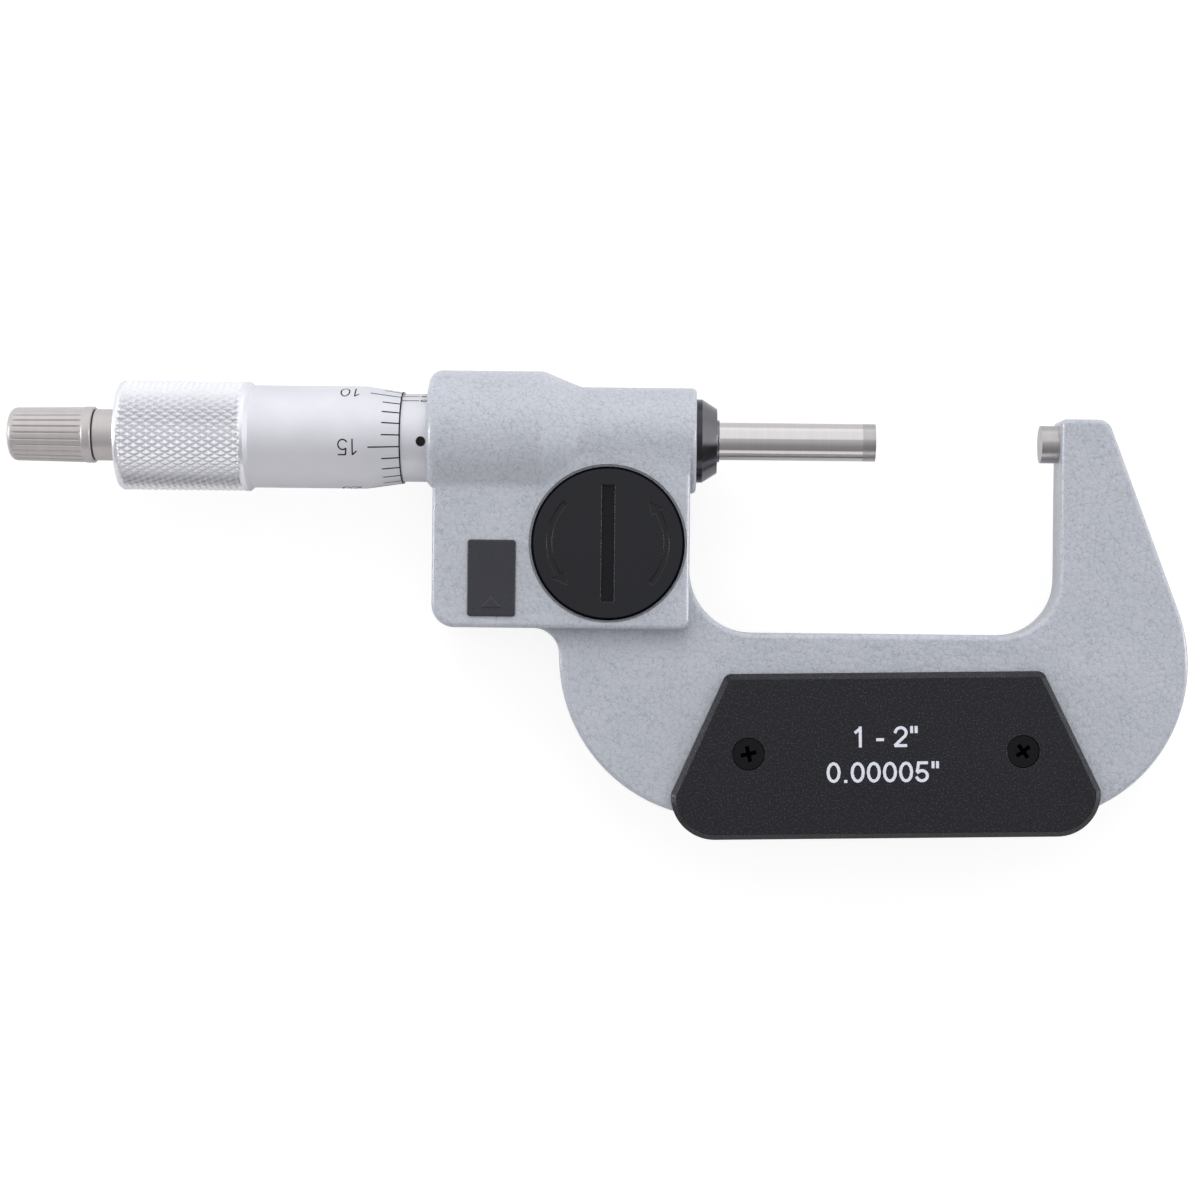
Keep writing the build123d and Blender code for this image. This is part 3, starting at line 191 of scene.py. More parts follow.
def bench_finish():
    """White bench: plain scattering for the light it throws up, brighter where a shiny surface mirrors
    it, white with a faint shadow where the lens or a clear piece sees it, and clear from below. What
    lies on it within bench_reach gets an even light from it, so that side isn't left black."""
    material = bpy.data.materials.new("white bench")
    material.use_nodes = True
    wiring = Wiring(material.node_tree)
    wiring.nodes.clear()
    path = wiring.node("LightPath").outputs

    def laid_over(share, under, over):
        """One shader over another by a share."""
        return wiring.node("MixShader", {"Fac": share, 1: under, 2: over}).outputs[0]

    def glow(strength):
        """An even white light."""
        return wiring.node("Emission", {"Strength": strength}).outputs[0]

    def scatter(colour):
        """Light thrown back evenly in a colour."""
        return wiring.node("BsdfDiffuse", {"Color": colour}).outputs[0]

    plain = scatter(wiring.mixed(path["Is Glossy Ray"], bench_scattered, bench_mirrored))
    white = wiring.node("AddShader", {0: scatter(bench_shadowed), 1: glow(bench_own_white)}).outputs[0]
    seen = wiring.maths("MAXIMUM", path["Is Camera Ray"], path["Is Transmission Ray"])
    near = wiring.maths("LESS_THAN", path["Ray Length"], bench_reach)
    near_unseen = wiring.node("Math", {0: near, 1: seen}, operation="SUBTRACT", use_clamp=True).outputs[0]
    top = laid_over(near_unseen, laid_over(seen, plain, white), glow(bench_near_glow))
    below = wiring.node("NewGeometry").outputs["Backfacing"]
    clear = wiring.node("BsdfTransparent").outputs[0]
    wiring.node("OutputMaterial", {"Surface": laid_over(below, top, clear)})
    return material


def new_piece(name, points, faces, *materials):
    """An object at the origin, made from rows of points and faces."""
    mesh = bpy.data.meshes.new(name)
    mesh.from_pydata(np.asarray(points, float).tolist(), [], np.asarray(faces).tolist())
    for material in materials:
        mesh.materials.append(material)
    piece = bpy.data.objects.new(name, mesh)
    bpy.context.scene.collection.objects.link(piece)
    return piece


bench_corners = np.array([(-1, -1, 0), (1, -1, 0), (1, 1, 0), (-1, 1, 0)]) * bench_half + (0, 0, bench_z)
new_piece("bench", bench_corners, [range(4)], bench_finish())

top_light_y, top_light_z = 0.60, 0.55
top_light_aim_y = -0.03
top_light = bpy.data.objects.new("top light", bpy.data.lights.new("top light", "AREA"))
top_light.data.shape = "RECTANGLE"
top_light.data.size = 0.6
top_light.data.size_y = 0.4
top_light.data.energy = 1.2
top_light.location = (-0.06, top_light_y, top_light_z)
top_light.rotation_euler = (-atan2(top_light_y - top_light_aim_y, top_light_z), 0, 0)
top_light.visible_glossy = False
bpy.context.scene.collection.objects.link(top_light)


# Frame: one iron casting with the bow, the electronics block and the barrel, sprayed with a light
# grey hammer enamel. The enamel is glossy, has a fine net of darker creases about a millimetre
# apart, and pools a little unevenly.
def srgb(red, green, blue):
    """A colour read as 0 to 255 screen values, as the linear values that a shader takes."""
    share = np.array([red, green, blue]) / 255
    linear = np.where(share <= 0.04045, share / 12.92, ((share + 0.055) / 1.055) ** 2.4)
    return (*linear.tolist(), 1.0)


class Finish(Wiring):
    """A material on one principled shader, with the point on the piece as the start of its patterns."""

    def __init__(self, name, colour, roughness, metallic=0.0):
        self.material = bpy.data.materials.new(name)
        self.material.use_nodes = True
        super().__init__(self.material.node_tree)
        self.shader = self.nodes["Principled BSDF"]
        self.shader.inputs["Base Color"].default_value = colour
        self.shader.inputs["Roughness"].default_value = roughness
        self.shader.inputs["Metallic"].default_value = metallic
        self.point = self.node("TexCoord").outputs["Object"]

    def along(self, axis):
        """The point's own place along X, Y or Z."""
        return self.node("SeparateXYZ", {0: self.point}).outputs[axis]

    def stretched(self, scale):
        """The point with each axis multiplied, for patterns drawn out along one axis."""
        return self.node("Mapping", {"Scale": scale, "Vector": self.point}).outputs["Vector"]

    def radius_from(self, middle, scale):
        """The distance from a middle in the XY plane, multiplied, as a point on one axis."""
        away = self.vector_maths("SUBTRACT", self.point, (middle[0], middle[1], 0)).outputs[0]
        flat = self.vector_maths("MULTIPLY", away, (scale, scale, 0)).outputs[0]
        return self.vector_maths("LENGTH", flat).outputs["Value"]

    def noise(self, scale, detail=2.0, roughness=0.5, point=None):
        """Smooth noise from 0 to 1, with so many features to a metre."""
        values = {"Scale": scale, "Detail": detail, "Roughness": roughness, "Vector": point or self.point}
        return self.node("TexNoise", values).outputs["Fac"]

    def clouds(self, scale, detail=2.0, to_low=0.0, to_high=1.0):
        """Noise whose middle part fills a range."""
        return self.span(self.noise(scale, detail), 0.3, 0.7, to_low, to_high)

    def soft_edges(self, radius):
        """Shades the edges of a piece as if they were rounded to a radius."""
        self.feed(normal=self.node("Bevel", {"Radius": radius}, samples=16).outputs["Normal"])

    def raised(self, height, distance):
        """Bumps whose full height is a distance in metres, added to those already there."""
        bumps = self.node("Bump", {"Strength": 1.0, "Distance": distance, "Height": height})
        last = self.shader.inputs["Normal"].links
        if last:
            self.links.new(last[0].from_socket, bumps.inputs["Normal"])
        self.feed(normal=bumps.outputs["Normal"])

    def painted(self, share, colour):
        """Lays a colour over the one already there by a share."""
        base = self.shader.inputs["Base Color"]
        under = base.links[0].from_socket if base.links else tuple(base.default_value)
        self.feed(base_color=self.mixed(share, under, colour))

    def feed(self, **sockets):
        """Connects outputs to the shader's inputs, named with _ for a space."""
        for name, value in sockets.items():
            self.links.new(value, self.shader.inputs[name.replace("_", " ").title().replace("Ior", "IOR")])

    def put_on(self, *names):
        """Covers the CAD nodes of these names."""
        for name in names:
            for slot in part[name].material_slots:
                slot.material = self.material


def hammer_enamel():
    """Grey enamel: pebbles from a warped cell pattern about a millimetre wide, whose edges show as
    short broken creases, over cloudy light and dark. Each pebble is a low bump with its own tone."""
    finish = Finish("hammer enamel", srgb(178, 182, 193), 0.32)
    finish.shader.inputs["Coat Weight"].default_value = 0.6
    finish.shader.inputs["Coat Roughness"].default_value = 0.13
    warp = finish.node("TexNoise", {"Scale": 1500, "Detail": 2, "Vector": finish.point}).outputs["Color"]
    warped = finish.vector_maths("MULTIPLY_ADD", warp, (0.0015, 0.0015, 0.0015), finish.point).outputs[0]
    cells = {"Scale": 940, "Vector": warped}
    soft_cells = {"Smoothness": 0.35, **cells}
    edges = finish.node("TexVoronoi", cells, feature="DISTANCE_TO_EDGE").outputs["Distance"]
    middles = finish.node("TexVoronoi", soft_cells, feature="SMOOTH_F1").outputs["Distance"]
    broken = finish.span(finish.noise(650, 1.0), 0.23, 0.51)
    crease = finish.maths("MULTIPLY", finish.span(edges, 0.068, 0.007), broken)
    tone = finish.mixed(finish.clouds(150, 3.0), srgb(183, 188, 196), srgb(191, 195, 204))
    tone = finish.mixed(finish.maths("MULTIPLY", finish.clouds(2100), 0.45), tone, srgb(197, 200, 206))
    finish.feed(base_color=finish.mixed(finish.maths("MULTIPLY", crease, 0.48), tone, srgb(118, 127, 136)))
    finish.feed(roughness=finish.span(crease, 0.0, 1.0, 0.30, 0.5))
    finish.raised(finish.noise(330), 0.00006)
    finish.raised(finish.maths("SUBTRACT", 1.0, middles), 0.00008)
    return finish


hammer_enamel().put_on("frame")


# Anvil and spindle: hardened steel, ground and lapped bright, each with a tip of tungsten carbide
# brazed on. Grinding leaves rings too fine to see singly. The carbide is darker and less bright.
def shaded(colour, factor):
    """A colour made lighter or darker by a factor."""
    return tuple(factor * channel for channel in colour[:3]) + (1.0,)


def ground_metal(name, colour, roughness, ring_depth, uneven=0.05, metallic=1.0):
    """Metal turned or ground about the X axis: rings by X alone, with faint clouds in its gloss."""
    finish = Finish(name, colour, roughness, metallic)
    rings = finish.noise(1.0, 3.0, 0.7, finish.stretched((9000, 0, 0)))
    broad = finish.noise(1.0, 2.0, 0.5, finish.stretched((1400, 60, 60)))
    finish.feed(base_color=finish.mixed(finish.span(broad, 0.3, 0.7), shaded(colour, 0.95), colour))
    finish.feed(roughness=finish.clouds(240, 2.0, roughness - uneven, roughness + uneven))
    finish.raised(rings, ring_depth)
    return finish


ground_metal("ground steel", (0.66, 0.64, 0.63, 1), 0.10, 0.0000002, 0.02).put_on("anvil", "spindle")
ground_metal("carbide", (0.50, 0.48, 0.475, 1), 0.26, 0.0000006).put_on("anvil_tip", "spindle_tip")


# Nose collar: turned steel with a black oxide coat, screwed into the barrel's nose. Its cone is
# polished a little brighter than the band behind it. A rubber wiper ring sits in its bore.
def black_oxide(name, colour, roughness, middle=None):
    """Black oxide on turned metal: fine rings along X, or round a middle in the XY plane."""
    finish = Finish(name, colour, roughness, 1.0)
    finish.soft_edges(0.00012)
    place = finish.stretched((5200, 0, 0)) if middle is None else finish.radius_from(middle, 5200)
    finish.feed(roughness=finish.clouds(420, 2.0, roughness - 0.06, roughness + 0.06))
    finish.raised(finish.noise(1.0, 2.0, 0.6, place), 0.0000012)
    return finish


cone_and_lip_l = 0.00293
cone_edge_half = 0.00004
cone_left_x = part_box("nose_collar")[1].x - cone_and_lip_l
band_black = (0.055, 0.055, 0.062, 1)
cone_black = (0.19, 0.19, 0.20, 1)


def collar_finish():
    """Black oxide on the band, going over to the brighter cone at the edge between them."""
    finish = black_oxide("black collar", band_black, 0.13)
    on_cone = finish.span(finish.along("X"), cone_left_x - cone_edge_half, cone_left_x + cone_edge_half)
    finish.painted(on_cone, cone_black)
    return finish


collar_finish().put_on("nose_collar")


def rubber(name, colour):
    """Moulded rubber: dull, with a soft grain."""
    finish = Finish(name, colour, 0.75)
    grain = finish.noise(2600)
    finish.feed(roughness=finish.span(grain, 0.2, 0.8, 0.65, 0.85))
    finish.raised(grain, 0.000008)
    return finish


rubber("seal rubber", (0.02, 0.02, 0.021, 1)).put_on("wiper_ring", "cover_gasket", "battery_cap_seal")


# Graduated sleeve: thin steel tube in satin chrome, with a spanner hole darkened by painted shade. Its index
# line, its scale of
# 0.635 mm steps, its vernier lines and their numerals are cut in and filled with dark paint.
sleeve_r = 0.0074
thimble_edge_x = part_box("thimble")[1].x
gap_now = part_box("anvil_tip")[0].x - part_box("spindle_tip")[1].x
gap_at_zero = 0.0254
index_turn = -183.5
index_left_x = -0.1312
vernier_divisions = 10
vernier_step = 12.96
vernier_right_x = -0.1049
vernier_left_x = -0.1190
vernier_h = 0.0010
vernier_numeral_gap = 0.0009
scale_divisions = 40
scale_numbered = 4
scale_step = 0.000635
scale_short_l = 0.0013
scale_long_l = 0.0021
scale_h = 0.0013
scale_numeral_gap = 0.0010
cut_w = 0.00023
sleeve_cut_w = 0.8 * cut_w
cut_proud = 0.000012
numeral_pitch = 0.70
numeral_gap = 0.10
strip_step = 0.00012
strip_levels = 6
strip_rise = 0.15
hole_x = -0.10425
hole_turn = radians(7.8)
hole_depth = 0.0010
hole_black_r = (0.00130, 0.00126)
hole_r = 0.00079
hole_floor_r = 0.00656
hole_outward = np.array([0, -sin(hole_turn), cos(hole_turn)])
hole_across = np.array([0, cos(hole_turn), sin(hole_turn)])
hole_sides = 24
chrome_metallic = 0.45
hole_shade_black = (0.004, 0.004, 0.004, 1)


def satin_chrome(name, colour, roughness, metallic=chrome_metallic):
    """Satin chrome on turned steel: bright, soft, with the turning rings just felt."""
    finish = Finish(name, colour, roughness, metallic)
    rings = finish.noise(1.0, 3.0, 0.6, finish.stretched((7000, 0, 0)))
    finish.feed(base_color=finish.mixed(finish.clouds(180, 3.0), shaded(colour, 0.95), colour))
    finish.feed(roughness=finish.span(rings, 0.2, 0.8, roughness - 0.05, roughness + 0.05))
    finish.raised(rings, 0.0000008)
    return finish


def sleeve_chrome():
    """Satin chrome with black, dull painted shade within a short way of the spanner hole's bottom."""
    finish = satin_chrome("sleeve chrome", (0.78, 0.79, 0.83, 1), 0.46)
    hole_bottom = tuple(hole_outward * (sleeve_r - hole_depth) + (hole_x, 0, 0))
    away = finish.vector_maths("DISTANCE", finish.point, hole_bottom).outputs["Value"]
    black_share = finish.span(away, *hole_black_r)
    # painted shade: the chrome goes black and loses its metal near the hole's bottom
    finish.painted(black_share, hole_shade_black)
    finish.feed(metallic=finish.span(black_share, 0, 1, chrome_metallic, 0))
    return finish


sleeve_chrome().put_on("graduated_sleeve")


def thin_piece(name, points, faces, material, body):
    """A piece from its points and faces that rides on a body of the CAD part."""
    piece = new_piece(name, points, faces, material)
    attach(piece, body)
    return piece


def hole_floor():
    """Floor of the spanner hole, black with painted shade: a disc square to the hole's line, with rim
    points at its radius about the middle, facing outward."""
    around = 2 * pi * np.arange(hole_sides) / hole_sides
    rim = np.outer(np.cos(around), (hole_r, 0, 0)) + np.outer(np.sin(around) * hole_r, hole_across)
    points = rim + hole_outward * hole_floor_r + (hole_x, 0, 0)
    # a black disc of painted shade standing for the shade down in the hole
    hole_shade_paint = Finish("painted shade in the hole", hole_shade_black, 0.4)
    hole_shade_paint.feed(roughness=hole_shade_paint.clouds(1500, 2.0, 0.3, 0.5))
    thin_piece("spanner_hole_shade_floor", points, [range(hole_sides)], hole_shade_paint.material, "sleeve")


hole_floor()


def cut_paint():
    """Dark brown-black paint in cut lines, a little uneven."""
    finish = Finish("paint in cut lines", (0.006, 0.004, 0.004, 1), 0.6)
    finish.shader.inputs["Specular IOR Level"].default_value = 0.15
    worn = finish.span(finish.noise(2500), 0.4, 0.8)
    finish.feed(base_color=finish.mixed(worn, (0.005, 0.003, 0.003, 1), (0.04, 0.03, 0.03, 1)))
    return finish


line_paint = cut_paint()


def arc(x, y, rx, ry, start, end):
    """Points on an ellipse about (x, y) from one angle in degrees to another."""
    turn = np.radians(np.linspace(start, end, 13))
    return np.column_stack([x + rx * np.cos(turn), y + ry * np.sin(turn)])


# Strokes of engraved numerals in a box 0.6 wide and 1 high
numeral_strokes = {
    "0": [arc(0.3, 0.5, 0.28, 0.5, 90, 450)],
    "1": [np.array([(0.12, 0.78), (0.36, 1.0), (0.36, 0.0)])],
    "2": [np.vstack([arc(0.3, 0.72, 0.28, 0.28, 165, -35), [(0.02, 0.0), (0.6, 0.0)]])],
    "3": [arc(0.28, 0.75, 0.25, 0.25, 150, -90), arc(0.28, 0.26, 0.30, 0.26, 90, -150)],
    "4": [np.array([(0.44, 0.0), (0.44, 1.0), (0.0, 0.28), (0.6, 0.28)])],
    "5": [np.vstack([[(0.54, 1.0), (0.1, 1.0), (0.06, 0.56)], arc(0.27, 0.33, 0.30, 0.33, 130, -145)])],
    "6": [arc(0.3, 0.32, 0.28, 0.32, 90, 450), arc(0.62, 0.34, 0.60, 0.66, 178, 100)],
    "7": [np.array([(0.0, 1.0), (0.58, 1.0), (0.2, 0.0)])],
    "8": [arc(0.3, 0.76, 0.23, 0.24, 90, 450), arc(0.3, 0.26, 0.29, 0.26, 90, 450)],
    "9": [arc(0.3, 0.68, 0.28, 0.32, 90, 450), arc(-0.02, 0.66, 0.60, 0.66, -2, -80)],
}


def numeral_lines(text, height, centre, upright=True):
    """Strokes of a number about a centre in a flat (along, around) plane. Along is -X, around is +turn.
    A number that isn't upright has its height along X instead."""
    lines = []
    for place, character in enumerate(text):
        left = numeral_pitch * place - (numeral_pitch * len(text) - numeral_gap) / 2
        for stroke in numeral_strokes[character]:
            flat = (stroke + (left, -0.5)) * height
            if not upright:
                flat = np.column_stack([flat[:, 1], -flat[:, 0]])
            lines.append(flat * (-1, 1) + centre)
    return lines


def strips(lines, width):
    """Flat strips along lines of (x, y) points, as (x, y, lift) corner points and four-sided faces. Each
    line is resampled, lengthened by half the width at its ends unless it closes, and set off by half
    the width to both sides. Lines that follow each other lie a hair above one another."""
    points, faces, count = [], [], 0
    for place, line in enumerate(lines):
        run = np.concatenate([[0], np.cumsum(np.hypot(*np.diff(line, axis=0).T))])
        steps = max(2, int(run[-1] / strip_step))
        at = np.linspace(0, run[-1], steps + 1)
        middle = np.column_stack([np.interp(at, run, line[:, 0]), np.interp(at, run, line[:, 1])])
        along = np.gradient(middle, axis=0)
        if np.allclose(line[0], line[-1]):
            along[0] = along[-1] = along[0] + along[-1]
        along /= np.hypot(*along.T)[:, None]
        side = np.column_stack([-along[:, 1], along[:, 0]]) * width / 2
        if not np.allclose(line[0], line[-1]):
            middle[0] -= along[0] * width / 2
            middle[-1] += along[-1] * width / 2
        edges = np.stack([middle - side, middle + side], axis=1).reshape(-1, 2)
        lift = cut_proud * (1 + strip_rise * (place % strip_levels))
        points.append(np.column_stack([edges, np.full(len(edges), lift)]))
        first = count + 2 * np.arange(steps)
        faces.append(np.column_stack([first, first + 2, first + 3, first + 1]))
        count += len(edges)
    return np.vstack(points), np.vstack(faces)


def face_rows(mesh, name):
    """A mesh's face normals or centres, one row for each face."""
    rows = np.empty((len(mesh.polygons), 3))
    mesh.polygons.foreach_get(name, rows.ravel())
    return rows


def face_outward(mesh):
    """Flips a mesh's faces where, taken together, their normals point towards the X axis."""
    if (face_rows(mesh, "normal")[:, 1:] * face_rows(mesh, "center")[:, 1:]).sum() < 0:
        mesh.flip_normals()


def cut_lines(name, lines, full_radius, radius_at, width, body):
    """Strips along lines of (x, around) points, wrapped on a turned piece and laid at the radius for
    their x, a hair proud. Around is the distance on the full radius, and its angle, around / full
    radius, stays the same where the piece tapers."""
    flat, faces = strips(lines, width)
    radius = radius_at(flat[:, 0]) + flat[:, 2]
    turn = flat[:, 1] / full_radius
    points = np.column_stack([flat[:, 0], -radius * np.sin(turn), radius * np.cos(turn)])
    face_outward(thin_piece(name, points, faces, line_paint.material, body).data)


def sleeve_radius(x):
    """Radius of the sleeve at x, the same all along."""
    return np.full_like(x, sleeve_r)


def sleeve_around(degrees):
    """Distance round the sleeve from +Z towards -Y for an angle."""
    return radians(degrees) * sleeve_r


def sleeve_lines():
    """The index line, the vernier lines turned on from it by equal steps, and the marks of the scale,
    one for each turn of the screw, numbered at every fourth."""
    index = sleeve_around(index_turn)
    lines = [np.array([(vernier_right_x, index), (index_left_x, index)])]
    for step in range(vernier_divisions + 1):
        around = sleeve_around(index_turn + vernier_step * step)
        lines.append(np.array([(vernier_right_x, around), (vernier_left_x, around)]))
        beside = (vernier_right_x + vernier_numeral_gap, around)
        lines += numeral_lines(str(step % 10), vernier_h, beside, upright=False)
    for step in range(scale_divisions + 1):
        mark_x = thimble_edge_x - (gap_at_zero + step * scale_step - gap_now)
        numbered = step % scale_numbered == 0
        mark_end = index - (scale_long_l if numbered else scale_short_l)
        lines.append(np.array([(mark_x, index), (mark_x, mark_end)]))
        if numbered:
            number = str(step // scale_numbered % 10)
            lines += numeral_lines(number, scale_h, (mark_x, mark_end - scale_numeral_gap))
    return lines


cut_lines("sleeve_graduations", sleeve_lines(), sleeve_r, sleeve_radius, sleeve_cut_w, "sleeve")


# Thimble: steel tube in satin chrome, with a bevelled edge, a plain body and a diamond knurl rolled
# on its far end. It is screwed to the spindle and carries the 25 division lines of the screw.
thimble_low, thimble_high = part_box("thimble")
thimble_end_x = thimble_low.x
thimble_edge_r = 0.00772
thimble_edge_cut = 0.00006
thimble_body_r = 0.00865
thimble_bore_r = 0.0075
thimble_taper_l = 0.00626
thimble_web_t = 0.0075
thimble_seat_r = (0.00287, 0.00332)
knurl_r = thimble_high.y
knurl_ring_x = -0.1337
knurl_ring_l = 0.0007
knurl_ring_cut_l, knurl_ring_cut_h = 0.00012, 0.0001
knurl_right_x = -0.1343
knurl_end_l = 0.0005
knurl_end_drop = 0.00035
knurl_end_sink = 0.00002
knurl_end_cut = 0.0001
knurl_starts = 48
knurl_pitch_x = 0.00207
knurl_depth = 0.00042
knurl_groove_half = 0.44
knurl_least = 0.15
steps_in_pitch = 8
sharp_turn = radians(16)


def turned_surface(name, x, radius, first_row=0):
    """A closed turned surface from its section. Row i of radius holds the radii round the piece at
    x[i], and point (i, j) lies at (x, -r sin t, r cos t), with t its share j of a full turn. The rows
    close on themselves, and each cell is split along the diagonal that joins its two even points."""
    rows, columns = radius.shape
    turn = 2 * pi * np.arange(columns) / columns
    places = np.broadcast_to(x[:, None], radius.shape)
    points = np.stack([places, -radius * np.sin(turn), radius * np.cos(turn)], 2)
    row, column = np.meshgrid(np.arange(rows), np.arange(columns), indexing="ij")
    next_row, next_column = (row + 1) % rows, (column + 1) % columns
    a, b = row * columns + column, next_row * columns + column
    c, d = next_row * columns + next_column, row * columns + next_column
    even = ((row - first_row + column) % 2 == 0)[..., None]
    first = np.where(even, np.stack([a, b, c], 2), np.stack([a, b, d], 2))
    second = np.where(even, np.stack([a, c, d], 2), np.stack([b, c, d], 2))
    faces = np.concatenate([first.reshape(-1, 3), second.reshape(-1, 3)])
    points = points.reshape(-1, 3)
    corner = points[faces]
    if np.einsum("ij,ij->i", corner[:, 0], np.cross(corner[:, 1], corner[:, 2])).sum() < 0:
        faces = faces[:, ::-1]
    piece = new_piece(name, points, faces)
    piece.data.shade_smooth()
    piece.data.set_sharp_from_angle(angle=sharp_turn)
    return piece


def knurl_sink(x, turn):
    """Depth of the knurl below its crests: two families of straight-sided grooves, each a line where
    starts * turn / full turn plus or minus x / pitch is whole, run across each other."""
    sink = np.zeros(np.broadcast(x, turn).shape)
    for hand in (1, -1):
        count = knurl_starts * turn / (2 * pi) + hand * (x - knurl_right_x) / knurl_pitch_x
        off_centre = np.abs(count - np.round(count))
        sink = np.maximum(sink, np.clip(1 - off_centre / knurl_groove_half, 0, 1))
    return knurl_depth * sink


knurl_step = knurl_pitch_x / steps_in_pitch
knurl_rows = int((knurl_right_x - thimble_end_x - knurl_end_l) / knurl_step)
knurl_x = knurl_right_x - knurl_step * np.arange(knurl_rows + 1)
thimble_columns = knurl_starts * steps_in_pitch
thimble_turn = 2 * pi * np.arange(thimble_columns) / thimble_columns
right_of_knurl = np.array([
    (thimble_edge_x, thimble_bore_r),
    (thimble_edge_x, thimble_edge_r - thimble_edge_cut),
    (thimble_edge_x - thimble_edge_cut, thimble_edge_r),
    (thimble_edge_x - thimble_taper_l, thimble_body_r),
    (knurl_ring_x + knurl_ring_l, thimble_body_r),
    (knurl_ring_x + knurl_ring_cut_l, knurl_r - knurl_ring_cut_h),
    (knurl_ring_x, knurl_r),
    (knurl_right_x + knurl_step, knurl_r),
])
left_of_knurl = np.array([
    (thimble_end_x + knurl_end_l, knurl_r - knurl_end_sink),
    (thimble_end_x + knurl_end_cut, knurl_r - knurl_end_drop + knurl_end_cut),
    (thimble_end_x, knurl_r - knurl_end_drop),
    (thimble_end_x, thimble_seat_r[0]),
    (thimble_end_x + thimble_web_t, thimble_seat_r[1]),
    (thimble_end_x + thimble_web_t, thimble_bore_r),
])
knurl_fade = np.minimum(knurl_x - knurl_x[-1], knurl_x[0] - knurl_x) / (2 * knurl_step)
knurl_share = np.clip(knurl_fade, knurl_least, 1)[:, None]
plain = np.ones(thimble_columns)
thimble = turned_surface(
    "thimble_knurled",
    np.concatenate([right_of_knurl[:, 0], knurl_x, left_of_knurl[:, 0]]),
    np.vstack([
        np.outer(right_of_knurl[:, 1], plain),
        knurl_r - knurl_share * knurl_sink(knurl_x[:, None], thimble_turn[None, :]),
        np.outer(left_of_knurl[:, 1], plain),
    ]),
    first_row=len(right_of_knurl),
)
body_chrome = satin_chrome("thimble chrome", (0.80, 0.81, 0.85, 1), 0.58)
knurl_chrome = satin_chrome("knurl chrome", (0.89, 0.895, 0.93, 1), 0.32, metallic=0.70)
thimble.data.materials.append(body_chrome.material)
thimble.data.materials.append(knurl_chrome.material)
in_knurl = face_rows(thimble.data, "center")[:, 0] < knurl_ring_x
thimble.data.polygons.foreach_set("material_index", in_knurl.astype(np.int32))
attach(thimble, "spindle")
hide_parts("thimble")

divisions = 25
divisions_numbered = 5
number_in_front = 14.0
line_start_x = thimble_edge_x - 0.00022
long_line_x = thimble_edge_x - 0.0052
short_line_x = thimble_edge_x - 0.0030
numeral_x = -0.11625
numeral_h = 0.0026
edge_shade_ring_x = thimble_edge_x - 0.00012
edge_shade_ring_points = 181


def thimble_radius(x):
    """Radius of the thimble's plain part at x: straight taper from the edge, then the body."""
    return np.interp(x, [thimble_edge_x - thimble_taper_l, thimble_edge_x], [thimble_body_r, thimble_edge_r])


def thimble_lines():
    """A line for each division, numbered at every fifth, and a thin ring of painted shade close to the
    thimble's edge.
    """
    lines = []
    whole_turn = 2 * pi * thimble_body_r
    for division in range(divisions):
        around = whole_turn * (division - number_in_front) / divisions
        numbered = division % divisions_numbered == 0
        lines.append(np.array([(line_start_x, around), (long_line_x if numbered else short_line_x, around)]))
        if numbered:
            lines += numeral_lines(str(division), numeral_h, (numeral_x, around))
    # a dark ring of painted shade just behind the thimble's edge, drawn in the cut-line paint
    shade_ring = np.linspace(0, whole_turn, edge_shade_ring_points)
    lines.append(np.column_stack([np.full_like(shade_ring, edge_shade_ring_x), shade_ring]))
    return lines


cut_lines("thimble_graduations", thimble_lines(), thimble_body_r, thimble_radius, cut_w, "spindle")


# Ratchet stop: a plain turned neck screwed into the thimble, and a fluted steel knob that turns on
# it. The knob is turned and then milled with 26 narrow flutes, which stop at a plain rim. The shade
# in the gap between them is painted on the neck as a dark line.
knob_low, knob_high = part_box("ratchet_knob")
knob_rim_x, knob_end_x = knob_high.x, knob_low.x
rim_gap_shade_l = 0.00030
knob_rim_r = 0.00475
knob_rim_edge = 0.00015
knob_rim_l = 0.0014
knob_rim_step = 0.00012
knob_land_r = (0.00466, 0.00448)
knob_end_round = 0.0012
flute_count = 26
flute_steps = 14
flute_depth = 0.00020
flute_half = 0.17
flute_run = 0.0005
flute_left_x = knob_end_x + 0.0009
knob_land_rows = 24
knob_round_rows = 8
knob_head_r, knob_head_x = 0.0020, knob_end_x + 0.0023
knob_screw_r, knob_floor_x = 0.0011, knob_end_x + 0.0048
knob_bore_r = 0.0033


def turned_steel(name):
    """Bare turned steel, warm grey and satin."""
    return ground_metal(name, (0.60, 0.565, 0.555, 1), 0.38, 0.0000015, metallic=0.5)


def stem_steel():
    """Turned steel with a dark line of painted shade beside the knob's rim."""
    finish = turned_steel("stem steel")
    # painted shade in the gap beside the knob's rim
    rim_gap_shade_share = finish.span(finish.along("X"), knob_rim_x + rim_gap_shade_l, knob_rim_x + 0.8 * rim_gap_shade_l)
    finish.painted(rim_gap_shade_share, (0.03, 0.03, 0.05, 1))
    return finish


stem_steel().put_on("ratchet_stem")

